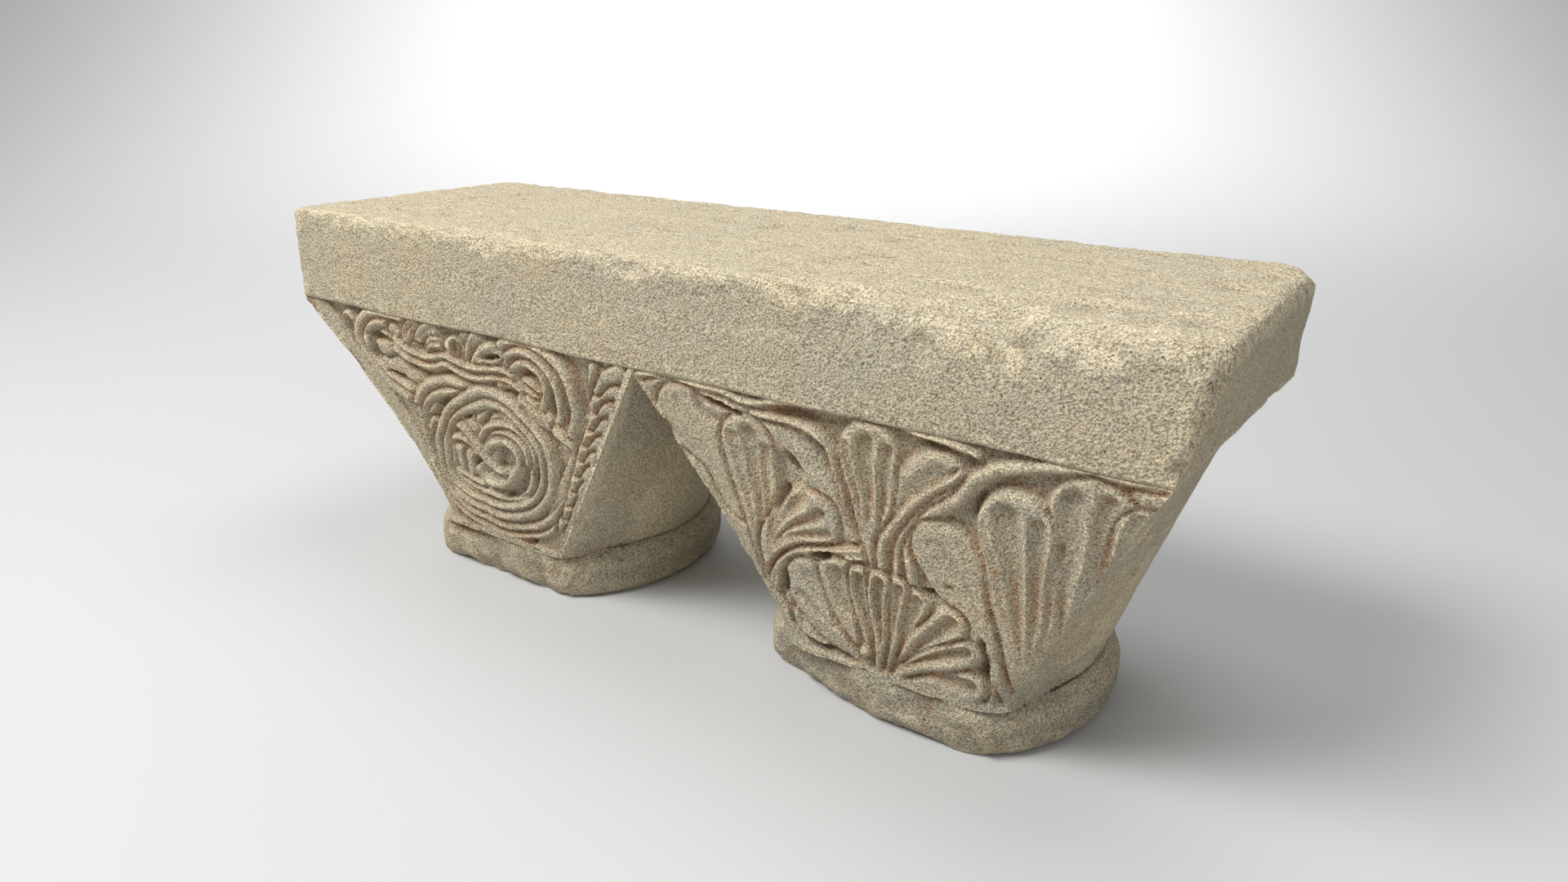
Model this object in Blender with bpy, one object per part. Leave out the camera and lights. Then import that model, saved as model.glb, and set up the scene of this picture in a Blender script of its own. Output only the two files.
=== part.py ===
# Twin capital: one block of stone, a slab carried by two bells that narrow to round necks.
# Metres, +Z up. The origin is at the middle of the block, on the plane of the two neck undersides.
# The carved fronts face -Y, and the end that the eye meets first is +X.

import math

import bmesh
import bpy
import numpy as np
from mathutils import Matrix

# Slab
slab_length = 0.630  # along X, at its underside, without what its left end has more
slab_left_extra = 0.017  # the left end reaches out by this much more than the right
slab_depth = 0.227  # along Y, at its underside
slab_height = 0.068
slab_end_lean = 0.017  # each end leans out by this much at the top
slab_front_lean = 0.0034  # the front and back lean in by this much at the top
slab_back_lean = 0.005  # but at the back it leans by this much only
slab_edge_round = 0.0065  # worn rounding of the upper front edge
slab_edge_wear = 0.022  # how much deeper the wear goes where the edge is broken down
slab_low_round = 0.0035  # the lower front edge
slab_back_round = 0.009
slab_corner_round = 0.022  # corners seen from above, at the slab's upper side
slab_foot_round = 0.003  # the same corners at its underside
slab_end_round = 0.010  # upper edge of the two ends

# Bells
bell_height = 0.159
bell_foot_radius = 0.102
front_foot_reach = 0.0925  # the carved front's foot lies this far in front of the neck's axis
bell_overlap = 0.004  # how far a bell runs up into the slab
bell_meeting = 0.0008  # how far each bell runs past the middle, where the two meet under the slab
bell_setback = 0.0010  # the bells' upper edges stand this far in from the slab's
bell_rim = 0.0006  # a bell stands straight for this far above the slab's underside
bell_tuck = 0.005  # then leans in by this much, inside the slab
carving_margin = 0.006  # share of a face's width over which its carving fades out at an arris
carving_foot = 0.02  # share of its height over which it fades out at the foot

# Necks
neck_radius = 0.1115
neck_height = 0.036
neck_spacing = 0.322  # between the two neck axes
neck_broken_reach = 0.0903  # the neck's front is broken off about flat, this far from its axis
neck_roughness = 0.0018
neck_broken_foot = 0.007  # how far the break rounds in at the foot
neck_break_slope = 0.30  # the right neck's break runs back this steeply at its left
neck_break_start = -0.012
neck_shoulder = 0.0065
neck_overlap = 0.003  # how far a bell runs down into its neck

# Carving
carving_depth = 0.008
back_carving_depth = 0.005
carving_triangles = 3300  # each bell, after its flat parts have been thinned out

# The ornament is drawn on a panel of this size, in points of about a millimetre
PANEL_HEIGHT = 160.0
PANEL_HALF_WIDTH = 157.5
DRAWN_DEPTH = 8.0
ARRIS_LEAN = 0.82  # an arris leans, so the way to it is shorter than the way across
BORDER_BANK = 2.5  # width of the slope from a plain border down to the ground
WAVER = 0.8  # how far a line strays, as it was cut by hand

FRONT_COLUMNS = 144
SIDE_COLUMNS = 10
BACK_COLUMNS = 60
BELL_ROWS = 88
NECK_SEGMENTS = 64

slab_underside = neck_height + bell_height
half_length = slab_length / 2
half_depth = slab_depth / 2
bell_half_top = slab_length / 4
bell_half_depth = half_depth - bell_setback
bell_shift = slab_length / 4


def smooth_path(points, steps=6):
    """Points on a smooth curve through the given ones."""
    given = np.array(points, float)
    ends = np.vstack([2 * given[0] - given[1], given, 2 * given[-1] - given[-2]])
    path = []
    for a, b, c, d in zip(ends, ends[1:], ends[2:], ends[3:]):
        for s in np.arange(steps) / steps:
            bend = (c - a) * s + (2 * a - 5 * b + 4 * c - d) * s**2 + (3 * b - a - 3 * c + d) * s**3
            path.append(b + bend / 2)
    path.append(given[-1])
    return np.array(path)


def arc(centre, radii, start, turn, steps=32):
    """Points on an ellipse, or on a spiral when the radii hold an end value too; angles in degrees."""
    s = np.linspace(0, 1, steps)
    angle = np.radians(start + turn * s)
    across = radii[0] + (radii[-2] - radii[0]) * s
    up = radii[1] + (radii[-1] - radii[1]) * s
    return np.column_stack([centre[0] + across * np.cos(angle), centre[1] + up * np.sin(angle)])


class Carving:
    """Heights over a panel in points: 0 at the panel's plane, -DRAWN_DEPTH at the sunk ground."""

    def __init__(self, u, w, left_edge, right_edge):
        self.u = u + WAVER * np.sin(w / 7 + 1.1) * np.cos(u / 19)
        self.w = w + WAVER * np.sin(self.u / 8 + 0.4) * np.cos(w / 17)
        self.left_edge = left_edge
        self.right_edge = right_edge
        self.height = np.full(u.shape, -DRAWN_DEPTH)

    def along(self, path):
        """How far each point is from a path, and where on it the nearest place is, 0 to 1."""
        nearest = np.full(self.u.shape, np.inf)
        place = np.zeros(self.u.shape)
        steps = np.diff(path, axis=0)
        lengths = np.hypot(steps[:, 0], steps[:, 1])
        runs = np.concatenate([[0], np.cumsum(lengths)])
        for start, step, length, run in zip(path, steps, lengths, runs):
            off_u = self.u - start[0]
            off_w = self.w - start[1]
            s = np.clip((off_u * step[0] + off_w * step[1]) / length**2, 0, 1)
            distance = np.hypot(off_u - s * step[0], off_w - s * step[1])
            closer = distance < nearest
            nearest = np.where(closer, distance, nearest)
            place = np.where(closer, (run + s * length) / runs[-1], place)
        return nearest, place

    def lay(self, inside, top, soft=3.0, shoulder=4.0, gap=2.4):
        """Lays a member over what is there; inside is how far each point is within its outline."""
        near = np.clip(1 + inside / gap, 0, 1)
        self.height = self.height + (top - shoulder - self.height) * near
        fall = shoulder * (1 - np.clip(inside / soft, 0, 1)) ** 2
        self.height = np.where(inside > 0, top - fall, self.height)

    def sink(self, share, bottom):
        """Takes the height down to bottom as share goes from 0 to 1, smoothly at both ends."""
        self.height = self.height + (bottom - self.height) * share**2 * (3 - 2 * share)

    def strand(self, path, width, level=0.0, grooved=False, end_width=None):
        """A round stem along a path, with a groove along its middle where it is doubled."""
        distance, place = self.along(path)
        half = (width + ((end_width or width) - width) * place) / 2
        top = level + 0 * distance
        if grooved:
            groove = width / 6
            top = top - groove * (0.5 + 0.5 * np.cos(2 * math.pi * np.clip(distance / half, 0, 1)))
        self.lay(half - distance, top, soft=width * 0.42)

    def within_lobe(self, base, tip, width, bend, root):
        """How far each point is within a lobe that is narrow at its base and round at its tip."""
        base = np.array(base, float)
        line = np.array(tip, float) - base
        length = np.hypot(line[0], line[1])
        end = base + line * (1 - width / 2 / length)
        normal = np.array([-line[1], line[0]]) / length
        distance, place = self.along(smooth_path([base, (base + end) / 2 + normal * bend, end]))
        return width / 2 * (root + (1 - root) * np.sin(place * math.pi / 2) ** 1.3) - distance

    def leaf(self, base, tip, width, bend=0.0, level=-0.3, hollow=2.5, rim=3.0, root=0.2):
        """A lobe with a domed edge, sunk a little inside its rim."""
        inside = self.within_lobe(base, tip, width, bend, root)
        sink = np.clip((inside - rim * 0.5) / rim, 0, 1)
        dome = 1.4 * (1 - np.clip(inside / (width * 0.4), 0, 1)) ** 2
        self.lay(inside, level - dome - hollow * sink**2 * (3 - 2 * sink), shoulder=3.2)

    def flute(self, base, tip, width, bend=0.0, depth=3.0, root=0.15):
        """A long hollow cut into a lobe, deepest along its middle."""
        inside = self.within_lobe(base, tip, width, bend, root)
        self.sink(np.clip(inside / (width * 0.38), 0, 1), self.height - depth)

    def pit(self, centre, radii, turn=0.0, depth=5.0):
        """A drilled hollow, deeper than the ground."""
        angle = math.radians(turn)
        off_u = self.u - centre[0]
        off_w = self.w - centre[1]
        across = (off_u * math.cos(angle) + off_w * math.sin(angle)) / radii[0]
        up = (off_w * math.cos(angle) - off_u * math.sin(angle)) / radii[1]
        self.sink(np.clip(1.35 - np.hypot(across, up), 0, 0.8) / 0.8, -DRAWN_DEPTH - depth)

    def pearl(self, centre, radius, level=0.0):
        distance = np.hypot(self.u - centre[0], self.w - centre[1])
        self.lay(radius - distance, level - radius * 0.35 * np.clip(distance / radius, 0, 1) ** 2)

    def border(self, edge, width, level, fall=0.0):
        """A plain margin left standing along one arris."""
        bank = DRAWN_DEPTH * np.clip((edge - width) / BORDER_BANK, 0, 1)
        self.height = np.maximum(self.height, level - fall * np.clip(edge / width, 0, 1) - bank)


def rolled_leaf(carving):
    """The leaf rolled up at the upper left, with a bud beside it."""
    bud = [(-118, 116), (-128, 130), (-134, 143), (-131, 153), (-124, 154), (-121, 144), (-123, 132)]
    carving.strand(smooth_path(bud), 6, -1.5)
    carving.leaf((-56, 112), (-106, 124), 24, bend=2, level=-2.4, hollow=0, root=0.7)
    carving.leaf((-52, 146), (-100, 133), 20, bend=-4, level=-1.6, hollow=0, root=0.7)
    carving.flute((-58, 146), (-90, 148), 6, depth=1.6)
    inner = [(-58, 153), (-80, 153), (-96, 151), (-106, 143), (-108, 132), (-102, 121), (-90, 112),
             (-76, 105), (-58, 99)]
    carving.strand(smooth_path(inner), 8, -0.4)
    outer = [(-46, 159), (-66, 162), (-86, 161), (-104, 157), (-115, 148), (-117, 136), (-112, 123),
             (-102, 111), (-86, 101), (-70, 94), (-60, 90)]
    carving.strand(smooth_path(outer), 10)
    for centre, radii, turn in (((-93, 141), (12, 2.8), -4), ((-101, 127), (3.2, 6), 25),
                                ((-67, 126), (6, 3.4), -55), ((-77, 112), (14, 1.6), -14)):
        carving.pit(centre, radii, turn)


def leafy_stem(carving):
    """The doubled wavy stem along the top, with half palmettes on it."""
    carving.leaf((-54, 141), (-80, 152), 15, bend=2, level=-1.2, hollow=0, root=0.5)
    for base, tip, width in (((-66, 138), (-40, 163), 15), ((-52, 137), (-26, 160), 15),
                             ((-42, 137), (-22, 150), 11)):
        carving.leaf(base, tip, width, bend=3, level=-0.2, hollow=0, root=0.4)
        carving.flute(base, tip, width * 0.5, bend=3, depth=2.6)
    for base, tip, width in (((2, 134), (3, 160), 14), ((4, 134), (18, 161), 16),
                             ((8, 136), (38, 154), 18)):
        carving.leaf(base, tip, width, bend=2, level=-0.4, hollow=0, root=0.5)
        carving.flute(base, tip, width * 0.45, bend=2, depth=2.4)
    carving.pearl((-12, 147), 9, -0.4)
    upper = [(-74, 143), (-60, 135), (-45, 133), (-28, 136), (-18, 138), (-8, 135), (8, 134), (22, 136),
             (34, 138), (44, 135)]
    lower = [(-76, 135), (-64, 129), (-50, 126.5), (-35, 128), (-22, 131.5), (-12, 129), (-2, 126.5),
             (12, 127.5), (26, 130), (40, 130.5), (52, 126)]
    carving.strand(smooth_path(upper), 7, end_width=5.5)
    carving.strand(smooth_path(lower), 8, -0.2, end_width=5)
    carving.pit((-47, 141), (5, 3), -15)
    carving.pit((-9, 147), (1.8, 5))
    carving.pit((28, 146), (8, 1.6), 15)


def volute(carving):
    """The stem's end, rolled up at the upper right."""
    carving.leaf((84, 102), (46, 122), 22, level=-1.4, hollow=0, root=0.6)
    for shift in (-4, 3):
        carving.flute((78, 103 + shift), (50, 120 + shift), 5, depth=1.8)
    for base, tip in (((66, 124), (48, 132)), ((68, 128), (53, 138))):
        carving.leaf(base, tip, 8, level=-1.6, hollow=0, root=0.6)
    carving.strand(smooth_path([(44, 130), (45, 139), (54, 145), (66, 145), (74, 138), (75, 127),
                                (70, 117)]), 6.5, -0.6)
    middle = [(38, 128), (38, 141), (45, 150.5), (58, 154), (72, 152), (82, 144), (87, 131), (86, 116),
              (81, 103)]
    carving.strand(smooth_path(middle), 7.5, -0.3)
    outer = [(31, 128), (30, 143), (37, 155), (51, 161.5), (70, 162), (86, 156), (96, 145), (100, 131),
             (99, 117), (94, 104), (86, 93)]
    carving.strand(smooth_path(outer), 9)
    carving.leaf((92, 94), (76, 104), 12, level=0, hollow=0, root=0.7)
    carving.pit((79, 120), (2.2, 9), 4)
    carving.pit((59, 139), (6, 2.0), 10)


def foliage(carving):
    """What winds through the ring: a fluted leaf, a stem across it and the loop at the stem's end."""
    carving.leaf((8, 62), (-24, 100), 30, bend=-3, level=-2.0, hollow=0, root=0.7)
    carving.leaf((6, 84), (52, 106), 26, bend=5, level=-1.8, hollow=0)
    carving.flute((14, 92), (46, 106), 6, bend=4, depth=2.0)
    carving.flute((10, 94), (32, 108), 5, bend=3, depth=1.6)
    carving.leaf((2, 94), (12, 116), 15, level=-1.4, hollow=0, root=0.5)
    carving.flute((4, 98), (11, 112), 6, depth=2.4)
    for base, tip in (((-63, 76), (-44, 100)), ((-60, 62), (-50, 86))):
        carving.leaf(base, tip, 9, bend=2, level=-1.2, hollow=0)
    carving.leaf((-24, 36), (-26, 74), 34, level=-1.6, hollow=0, root=0.9)
    for base, tip in (((-33, 44), (-37, 67)), ((-26, 42), (-27, 71)), ((-18, 42), (-16, 69))):
        carving.leaf(base, tip, 11.5, level=-0.8, hollow=0, root=0.8)
    carving.strand(smooth_path([(-43, 52), (-41, 64), (-34, 72), (-24, 75), (-14, 73), (-8, 65)]), 6,
                   -0.4)
    carving.strand(smooth_path([(50, 74), (49, 63), (44, 52), (36, 42), (26, 36)]), 8, -0.6)
    outer = [(-6, 72), (3, 84), (14, 92), (28, 95.5), (42, 93), (52, 84), (55, 72)]
    carving.strand(smooth_path(outer), 7, -0.2)
    carving.strand(smooth_path([(-2, 68), (6, 78), (15, 85.5), (27, 88.5), (38, 86), (46, 78),
                                (46, 70)]), 6.5, -0.5)
    loop = [(2, 70), (10, 77), (20, 81.5), (30, 80.5), (36.5, 74), (35, 65), (28, 57), (20, 49),
            (11, 44), (2, 43), (-6, 47), (-9, 54)]
    carving.strand(smooth_path(loop), 8.5)
    carving.strand(smooth_path([(-26, 88), (-16, 83), (-8, 74), (-2, 65), (6, 58), (17, 55)]), 10.5, 0.1,
                   end_width=7.5)
    for path in ([(38, 40), (27, 34.5), (12, 33), (-4, 34.5), (-20, 37.5), (-38, 44)],
                 [(-8, 41), (-20, 43), (-34, 46)]):
        carving.strand(smooth_path(path), 7, -0.8)
    pits = (((-32, 103), (11, 3.0), 24), ((20, 67), (11, 4.6), 52), ((53, 60), (8, 2.4), 68),
            ((33, 49), (8, 2.6), 50), ((20, 38), (8, 1.8), 20), ((-8, 29.5), (11, 1.6), 8),
            ((-12, 94), (6, 2), 20), ((18, 108), (5, 3.6), -20), ((-11, 60), (2.4, 4), -20),
            ((-22, 80), (5, 1.8), -35))
    for centre, radii, turn in pits:
        carving.pit(centre, radii, turn)


def ring(carving):
    """Two strands from the left tuck under the ring, which is two strands itself."""
    for path in ([(-64, 82), (-60, 92), (-51, 101), (-40, 107), (-28, 110.5), (-12, 110), (2, 105)],
                 [(-70, 84), (-64, 97), (-52, 109), (-36, 117), (-18, 119), (0, 116)]):
        carving.strand(smooth_path(path), 9)
    inner = [(-40, 33), (-45, 44), (-42, 58), (-40, 71), (-36, 80), (-30, 88), (-21, 94), (-11, 99.5),
             (1, 105.5), (14, 110), (28, 108.5), (42, 101.5), (54, 91), (61, 79), (60.5, 66), (55, 53),
             (46, 42), (33, 33), (18, 27.5), (3, 25), (-14, 25), (-28, 27), (-40, 33)]
    outer = [(-46, 29), (-52, 42), (-51, 57), (-49, 68), (-43, 80), (-36, 91), (-26, 99), (-14, 106),
             (-3, 113), (9, 118.5), (26, 117.5), (44, 110), (58, 99.5), (67, 86), (69, 70), (64, 54),
             (54, 40), (41, 29), (26, 22), (10, 18), (-8, 17), (-28, 20), (-46, 29)]
    for path in (inner, outer):
        carving.strand(smooth_path(path), 9)
    carving.strand(smooth_path([(-66, 88), (-63, 74), (-62, 58), (-58, 42), (-48, 27)]), 7, -0.6)


def rope_border(carving):
    """A rope of slanting strokes between two ribs, which run on round the panel's foot."""
    carving.border(carving.right_edge, 22, -3.2)
    low = [(78, 43), (69, 30), (58, 20), (44, 11.5), (24, 5), (2, 2.5), (-20, 4), (-40, 12), (-56, 26),
           (-68, 44)]
    high = [(122, 156), (119, 142), (114, 124), (107, 106), (99, 88), (91, 72), (82, 56), (72, 42),
            (60, 30), (45, 19.5), (30, 13.5), (10, 10), (-14, 10), (-34, 15), (-52, 28), (-64, 46)]
    for path in (low, high):
        carving.strand(smooth_path(path), 7)
    strokes = 10
    for k in range(strokes):
        rise = k / (strokes - 1)
        middle = np.array((75 + 61 * rise, 32 + 118 * rise))
        reach = np.array((9 + 4 * rise, 10.5))
        carving.leaf(middle - reach, middle + reach, 11 + 2 * rise, bend=3, level=-0.4, hollow=0,
                     root=0.5)
    carving.border(carving.right_edge, 4.5, -0.3)


def medallion_panel(carving):
    carving.border(carving.left_edge, 16, -1.5, 3.5)
    rolled_leaf(carving)
    volute(carving)
    leafy_stem(carving)
    foliage(carving)
    ring(carving)
    rope_border(carving)


def left_palmette(carving):
    """Two fluted lobes on a stem that swings in from the left arris, and the wide stem above them."""
    carving.leaf((-90, 88), (-136, 155), 46, bend=-8, level=-0.6, hollow=0.8, rim=6, root=0.6)
    stem = [(-100, 153), (-70, 147), (-46, 134), (-29, 114), (-17, 96), (-6, 82)]
    carving.strand(smooth_path(stem), 26, -1.0, end_width=15)
    rib = [(-72, 151), (-44, 149), (-25, 142), (-18, 126), (-13, 108), (-7, 94), (2, 82)]
    carving.strand(smooth_path(rib), 6)
    carving.leaf((-74, 36), (-79, 148), 38, bend=-4, hollow=0, root=0.25)
    carving.flute((-74, 60), (-88, 138), 11, depth=3.0)
    carving.flute((-72, 56), (-77, 144), 15, bend=-2, depth=4.6)
    carving.flute((-70, 60), (-65, 134), 9, bend=-2, depth=3.0)
    carving.leaf((-72, 40), (-25, 107), 40, bend=7, hollow=0, root=0.25)
    for tip, width, bend, depth in (((-53, 109), 9, 3, 3.2), ((-39, 110), 11, 5, 4.0),
                                    ((-27, 100), 10, 6, 3.8), ((-23, 87), 8, 7, 2.8)):
        carving.flute((-68, 56), tip, width, bend, depth)
    tendril = [(-58, 18), (-68, 34), (-61, 52), (-44, 65), (-20, 73), (4, 80)]
    carving.strand(smooth_path(tendril), 11, grooved=True)
    carving.pit((-47, 124), (8, 4), -50)
    carving.pit((-96, 150), (15, 1.8), -12)


def upper_leaf(carving):
    """The upright leaf in the middle, the doubled stem beside it and the arch that the stem ends in."""
    carving.leaf((8, 78), (50, 153), 30, bend=9, level=-0.6, hollow=0)
    carving.flute((14, 90), (47, 147), 16, bend=8, depth=2.6)
    carving.leaf((3, 72), (1, 162), 36, level=0, hollow=0)
    carving.flute((2, 90), (-1, 156), 17, depth=5.4)
    carving.flute((0, 84), (-13, 149), 8, depth=3.0)
    carving.flute((6, 84), (14, 151), 10, depth=3.8)
    for shift in (0, 10):
        stem = [(8, 74), (11, 92), (23, 112), (38, 128), (54, 141)]
        carving.strand(smooth_path([(u + shift, w) for u, w in stem]), 7)
    arch = [(27, 68), (26, 90), (36, 111), (51, 126), (63, 142), (84, 154), (120, 160), (157, 161)]
    carving.strand(smooth_path(arch), 8, -0.5)
    carving.pit((65, 127), (4, 8), -25)
    carving.pit((-35, 154), (18, 2.0), 2)
    carving.pit((38, 156), (14, 2.0), -8)


def great_palmette(carving):
    """The largest palmette, which fills the right of the panel up to its arris."""
    carving.leaf((90, -6), (37, 111), 38, bend=-9, level=-0.6, hollow=0, root=0.5)
    carving.flute((72, 50), (38, 102), 13, bend=-4, depth=1.8)
    carving.flute((78, 52), (54, 106), 8, bend=-4, depth=1.4)
    carving.leaf((98, -6), (126, 157), 46, bend=-3, level=-0.4, hollow=0, root=0.35)
    carving.leaf((98, -6), (150, 146), 26, bend=-5, level=-0.6, hollow=0, root=0.35)
    carving.flute((101, 28), (113, 151), 18, bend=-2, depth=5.2)
    carving.flute((103, 22), (130, 152), 13, bend=-3, depth=4.4)
    carving.flute((104, 18), (144, 145), 11, bend=-5, depth=4.0)
    carving.leaf((92, -6), (83, 141), 42, bend=-3, level=0, hollow=0, root=0.3)
    carving.flute((90, 32), (78, 135), 19, bend=-1, depth=5.4)
    carving.flute((93, 28), (96, 130), 12, bend=-1, depth=4.0)
    carving.flute((96, 24), (106, 118), 7, bend=-1, depth=2.6)
    carving.flute((87, 40), (66, 120), 7, bend=-1, depth=2.2)
    carving.pit((69, 30), (2.6, 14), 8)
    carving.pit((50, 74), (2.4, 1.2), 20, depth=-4)


def foot_palmette(carving):
    """The fan that stands on the foot of the panel, with a pearl on its stem."""
    carving.leaf((2, 6), (-54, 22), 26, bend=-3, level=-0.8, hollow=0, root=0.4)
    carving.flute((-20, 8), (-50, 20), 9, bend=-2, depth=2.4)
    carving.leaf((2, 4), (-54, 58), 36, bend=6, level=-0.5, hollow=0, root=0.35)
    carving.flute((-16, 28), (-45, 56), 15, bend=3, depth=2.4)
    carving.flute((-18, 20), (-50, 40), 9, bend=2, depth=2.0)
    carving.leaf((3, 2), (-26, 71), 27, bend=3, hollow=0, root=0.3)
    carving.flute((-4, 22), (-24, 67), 14, bend=3, depth=4.4)
    carving.flute((-2, 18), (-13, 65), 7, bend=2, depth=3.0)
    for tip, width, bend in (((71, 14), 22, 3), ((33, 67), 17, 0), ((56, 58), 22, 1),
                             ((67, 38), 18, 2)):
        carving.leaf((9, -4), tip, width, bend, hollow=0, root=0.35)
        carving.flute((14, 4), (tip[0] * 0.95, tip[1] * 0.95), width * 0.6, bend, 5.0, root=0.2)
    for tip in (-8, 19, 6):
        carving.leaf((4 + tip * 0.3, -3), (tip, 71), 15, hollow=0, root=0.4)
        carving.flute((4 + tip * 0.4, 14), (tip, 67), 9, depth=5.0)
    carving.pearl((-3, 12), 5, 1.2)
    pits = (((-32, 68), (6, 2.4), 15), ((-34, 3), (13, 1.8), -22), ((-59, 42), (3, 9), 0),
            ((40, 64), (8, 2), -14))
    for centre, radii, turn in pits:
        carving.pit(centre, radii, turn)


def palmette_panel(carving):
    carving.border(carving.left_edge, 24, -1.0, 1.5)
    carving.border(carving.right_edge, 12, -1.5)
    left_palmette(carving)
    upper_leaf(carving)
    great_palmette(carving)
    foot_palmette(carving)
    rib = [(-160, 157), (-130, 162), (-95, 159), (-76, 156), (-50, 161), (0, 163), (36, 161), (64, 155)]
    carving.strand(smooth_path(rib), 5.5)


def back_panel(carving):
    """Plainer: one broad palmette inside a flat margin."""
    carving.border(carving.left_edge, 14, 0.0)
    carving.border(carving.right_edge, 14, 0.0)
    for spread, width in ((-104, 30), (104, 30), (-72, 32), (72, 32), (-38, 34), (38, 34), (0, 36)):
        tip = (spread, 152 - 0.1 * abs(spread))
        carving.leaf((spread * 0.22, 14), tip, width, hollow=2.0, rim=4, root=0.35)


# A bell's two front arrises at its foot, from its neck's axis, and how each one curves on its way up
left_bell = {
    "name": "left_bell",
    "side": -1,
    "left_foot": (-0.066, -0.081),
    "right_foot": (0.066, -0.090),
    "left_flare": 1.45,
    "right_flare": 1.0,
    "carving": medallion_panel,
}
right_bell = {
    "name": "right_bell",
    "side": 1,
    "left_foot": (-0.076, -0.074),
    "right_foot": (0.080, -0.081),
    "left_flare": 1.15,
    "right_flare": 1.0,
    "carving": palmette_panel,
}
back_foot_angle = 45.0  # where the back arrises stand on the neck's circle, from the X axis
front_foot_flat = 0.045  # half the width over which the front's foot is flat


def front_of(bell, across, rise):
    """Front surface of a bell; across is 0 to 1 from left arris to right, rise 0 to 1 to the slab."""
    left_x, left_y = bell["left_foot"]
    right_x, right_y = bell["right_foot"]
    neck_x = bell["side"] * neck_spacing / 2
    foot = left_x + (right_x - left_x) * across
    arris = np.where(foot < 0, abs(left_x), right_x)
    arris_y = np.where(foot < 0, left_y, right_y)
    turn = np.clip((np.abs(foot) - front_foot_flat) / (arris - front_foot_flat), 0, 1)
    foot_y = -front_foot_reach + (arris_y + front_foot_reach) * turn**2
    inner = bell_half_top + bell_meeting
    outer = bell_half_top - bell_setback
    top_left = -outer - slab_left_extra if bell["side"] < 0 else -inner
    top_right = inner if bell["side"] < 0 else outer
    top = bell["side"] * bell_shift + top_left + (top_right - top_left) * across
    flare = bell["left_flare"] + (bell["right_flare"] - bell["left_flare"]) * across
    x = neck_x + foot + (top - neck_x - foot) * rise**flare
    y = foot_y + (-bell_half_depth - foot_y) * rise
    return x, y


class Arris:
    """One of a bell's four corner lines, from a point at its foot to a corner under the slab."""

    def __init__(self, bell, foot, top, flare):
        self.neck_x = bell["side"] * neck_spacing / 2
        self.radius = math.hypot(foot[0], foot[1])
        self.angle = math.atan2(foot[1], foot[0])
        self.top = top
        self.flare = flare


def round_side(start, end, across, rise):
    """A smooth side of a bell between two arrises: an arc at the foot, straight under the slab."""
    ease = 0.25  # share of the arc over which an arris falls back to the foot's own circle
    from_start = np.clip(1 - across / ease, 0, 1) ** 2
    from_end = np.clip(1 - (1 - across) / ease, 0, 1) ** 2
    radius = (bell_foot_radius + (start.radius - bell_foot_radius) * from_start
              + (end.radius - bell_foot_radius) * from_end)
    sweep = (end.angle - start.angle) % (2 * math.pi)
    angle = start.angle + sweep * across
    foot_x = start.neck_x + radius * np.cos(angle)
    foot_y = radius * np.sin(angle)
    top_x = start.top[0] + (end.top[0] - start.top[0]) * across
    top_y = start.top[1] + (end.top[1] - start.top[1]) * across
    flare = start.flare + (end.flare - start.flare) * across
    x = foot_x + (top_x - foot_x) * rise**flare
    y = foot_y + (top_y - foot_y) * rise
    return x, y


def panel(bell, rise, x, left_x, right_x, facing):
    """A carving sized to one face of a bell; facing is 1 on the front and -1 on the back."""
    point = PANEL_HALF_WIDTH / bell_half_top
    u = (x - bell["side"] * bell_shift) * point * facing
    left_edge = (x - left_x) * point * ARRIS_LEAN
    right_edge = (right_x - x) * point * ARRIS_LEAN
    return Carving(u, rise * PANEL_HEIGHT, left_edge, right_edge)


def carve_front(bell, rise, x):
    """Depth of the front's carving, in metres, at each point of the face."""
    left_x, _ = front_of(bell, np.zeros_like(rise), rise)
    right_x, _ = front_of(bell, np.ones_like(rise), rise)
    carving = panel(bell, rise, x, left_x, right_x, 1)
    bell["carving"](carving)
    return carving.height * carving_depth / DRAWN_DEPTH


def carve_back(bell, rise, x, left_x, right_x):
    carving = panel(bell, rise, x, left_x, right_x, -1)
    back_panel(carving)
    return carving.height * back_carving_depth / DRAWN_DEPTH


def fade_at_edges(across, rise):
    """Keeps the carving off the arrises and off the bell's two ends, where other faces join on."""
    sides = np.clip(np.minimum(across, 1 - across) / carving_margin, 0, 1)
    foot = np.clip(rise / carving_foot, 0, 1)
    return sides * foot


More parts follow.
